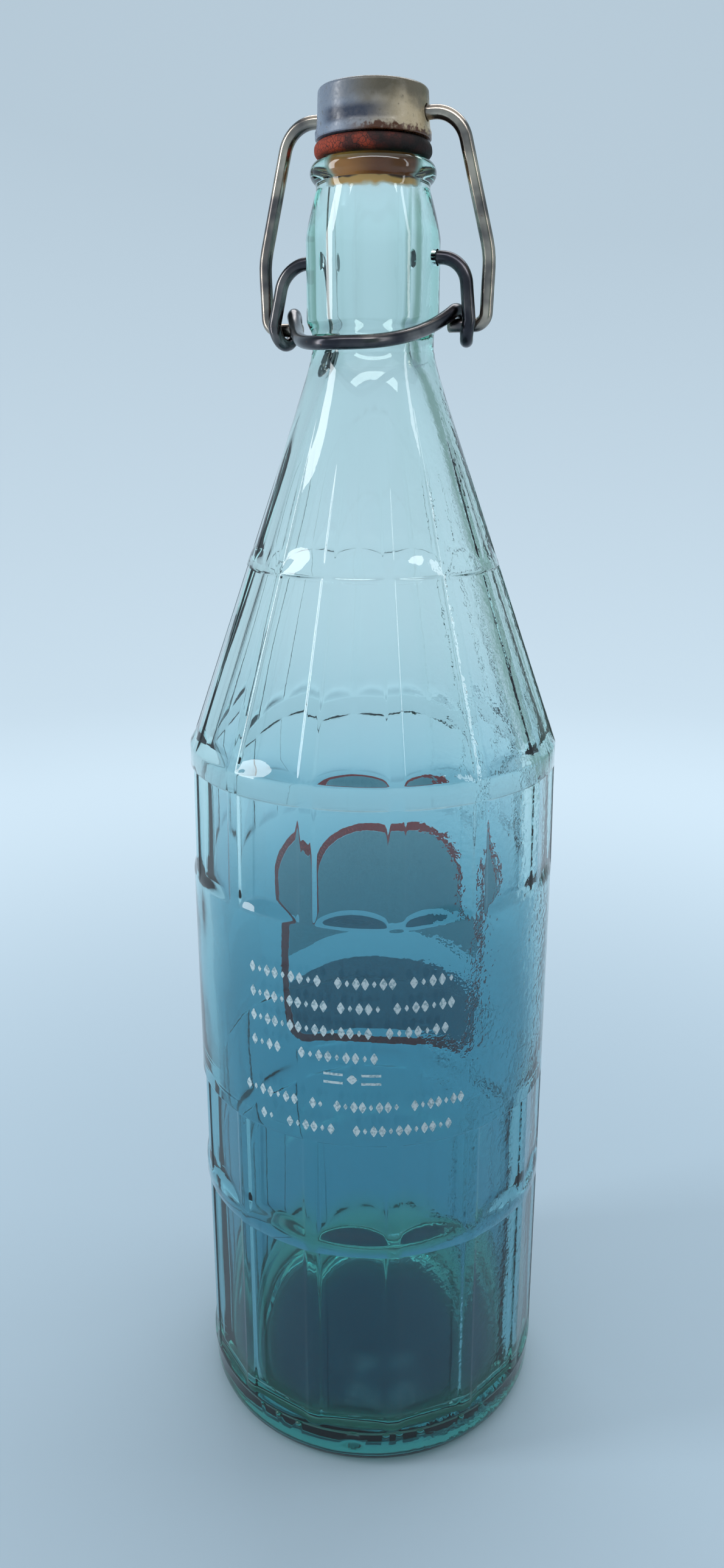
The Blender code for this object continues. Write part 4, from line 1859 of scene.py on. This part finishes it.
@dataclass(frozen=True)
class Lamp:
    """A rectangular area lamp that faces the bottle and isn't seen by the camera.

    The azimuth counts in degrees from the camera's side to the right, the elevation in degrees
    from the table up. The other sizes are in metres.
    """

    name: str
    azimuth: float
    elevation: float
    distance: float
    size: Pair
    watts: float
    hidden_from: tuple[Ray, ...]
    aim_height: float = 0.16

    def add(self) -> None:
        """Add the lamp to the scene."""
        data = bpy.data.lights.new(self.name, "AREA")
        data.shape = "RECTANGLE"
        data.size, data.size_y = self.size
        data.energy = self.watts
        lamp = link(self.name, data)
        rise = math.radians(self.elevation)
        out = turned(math.cos(rise), VIEW_TURN + math.radians(self.azimuth), math.sin(rise))
        lamp.location = Vector((0, 0, self.aim_height)) + out * self.distance
        lamp.rotation_mode = "QUATERNION"
        lamp.rotation_quaternion = (-out).to_track_quat("-Z", "Y")
        lamp.visible_camera = False
        for ray in self.hidden_from:
            setattr(lamp, ray.value, False)


@dataclass
class Studio:
    """Pale round bowl of floor and backdrop, soft lamps and the photograph's camera.

    The lamps are a tall key at the left, one above, two long strips that only draw bright lines
    along ledges, ribs, lip and wires, and a weak fill.
    """

    world_colour: str = "#F4F7FA"
    world_strength: float = 0.90
    floor_height: float = -0.0001
    floor_rings: tuple[float, ...] = (0.0005, 0.1, 0.2, 0.4)
    floor_radius: float = 1.4
    cove_radius: float = 0.6
    cove_rows: int = 16
    wall_top: float = 2.2
    columns: int = 96
    focal_pixels: float = 1940.0
    sensor_width: float = 36.0
    nearest_seen: float = 0.01
    camera_distance: float = 0.2752
    camera_offset: float = -0.00256
    camera_height: float = 0.2500
    pitch: float = math.radians(17.13)
    roll: float = math.radians(-0.09)
    paint: StudioPaint = StudioPaint()
    lamps: tuple[Lamp, ...] = (
        Lamp("key", -80, 14, 0.9, (0.20, 1.1), 5.0, (Ray.TRANSMISSION,)),
        Lamp("top", 165, 58, 1.0, (0.9, 0.3), 4.0, (Ray.TRANSMISSION,)),
        Lamp("strip_above", 0, 60, 1.0, (1.4, 0.16), 5.0, (Ray.DIFFUSE,)),
        Lamp("strip_right", 62, 14, 1.0, (0.08, 1.1), 1.3, (Ray.DIFFUSE, Ray.TRANSMISSION)),
        Lamp("fill", 100, 35, 1.0, (0.5, 0.5), 2.0, (Ray.GLOSSY, Ray.TRANSMISSION)),
    )

    def build_bowl(self) -> None:
        """Build the bowl."""
        middle, floor = self.floor_radius - self.cove_radius, self.floor_height
        profile = [(radius, floor) for radius in (*self.floor_rings, middle)]
        cove = arc((middle, floor + self.cove_radius), self.cove_radius, -90, 0, self.cove_rows)
        profile += cove[1:]
        profile.append((self.floor_radius, floor + self.wall_top))
        rings = turned_rings(profile, evenly(self.columns))
        bowl = link("studio_bowl", shell("bowl", rings, caps=(0,)))
        bowl.data.materials.append(self.paint.make())
        # The bowl is seen, directly and in the glass, but takes no light from the room
        bowl.visible_diffuse = False
        bowl.visible_shadow = False

    def build_lights(self) -> None:
        """Add the world and the lamps."""
        world = bpy.data.worlds.new("pale_room")
        bpy.context.scene.world = world
        world.use_nodes = True
        background = world.node_tree.nodes["Background"]
        background.inputs["Color"].default_value = linear(self.world_colour)
        background.inputs["Strength"].default_value = self.world_strength
        for lamp in self.lamps:
            lamp.add()

    def build_camera(self) -> None:
        """Add the camera at the place worked out from the photograph."""
        right = Vector((math.cos(VIEW_TURN), math.sin(VIEW_TURN), 0))
        level = Vector((-math.sin(VIEW_TURN), math.cos(VIEW_TURN), 0))
        height = Vector((0, 0, self.camera_height))
        forward = level * math.cos(self.pitch) - Vector((0, 0, math.sin(self.pitch)))
        data = bpy.data.cameras.new("camera")
        data.sensor_width = self.sensor_width
        data.lens = self.sensor_width * self.focal_pixels / PICTURE_HEIGHT
        data.clip_start = self.nearest_seen
        camera = link("camera", data)
        camera.location = right * self.camera_offset - level * self.camera_distance + height
        roll = Quaternion((0, 0, 1), self.roll)
        camera.rotation_mode = "QUATERNION"
        camera.rotation_quaternion = forward.to_track_quat("-Z", "Y") @ roll
        bpy.context.scene.camera = camera

    def build(self) -> None:
        """Build the bowl, the lights and the camera."""
        self.build_bowl()
        self.build_lights()
        self.build_camera()


def main() -> None:
    """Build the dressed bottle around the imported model."""
    logging.basicConfig(level=logging.INFO, format="%(message)s")
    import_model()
    bpy.context.scene.view_settings.view_transform = "Standard"
    Studio().build()
    for part in (Bottle(), LabelPrint(), BackPanel(), Closure(), Stopper()):
        part.build()


if __name__ == "__main__":
    main()
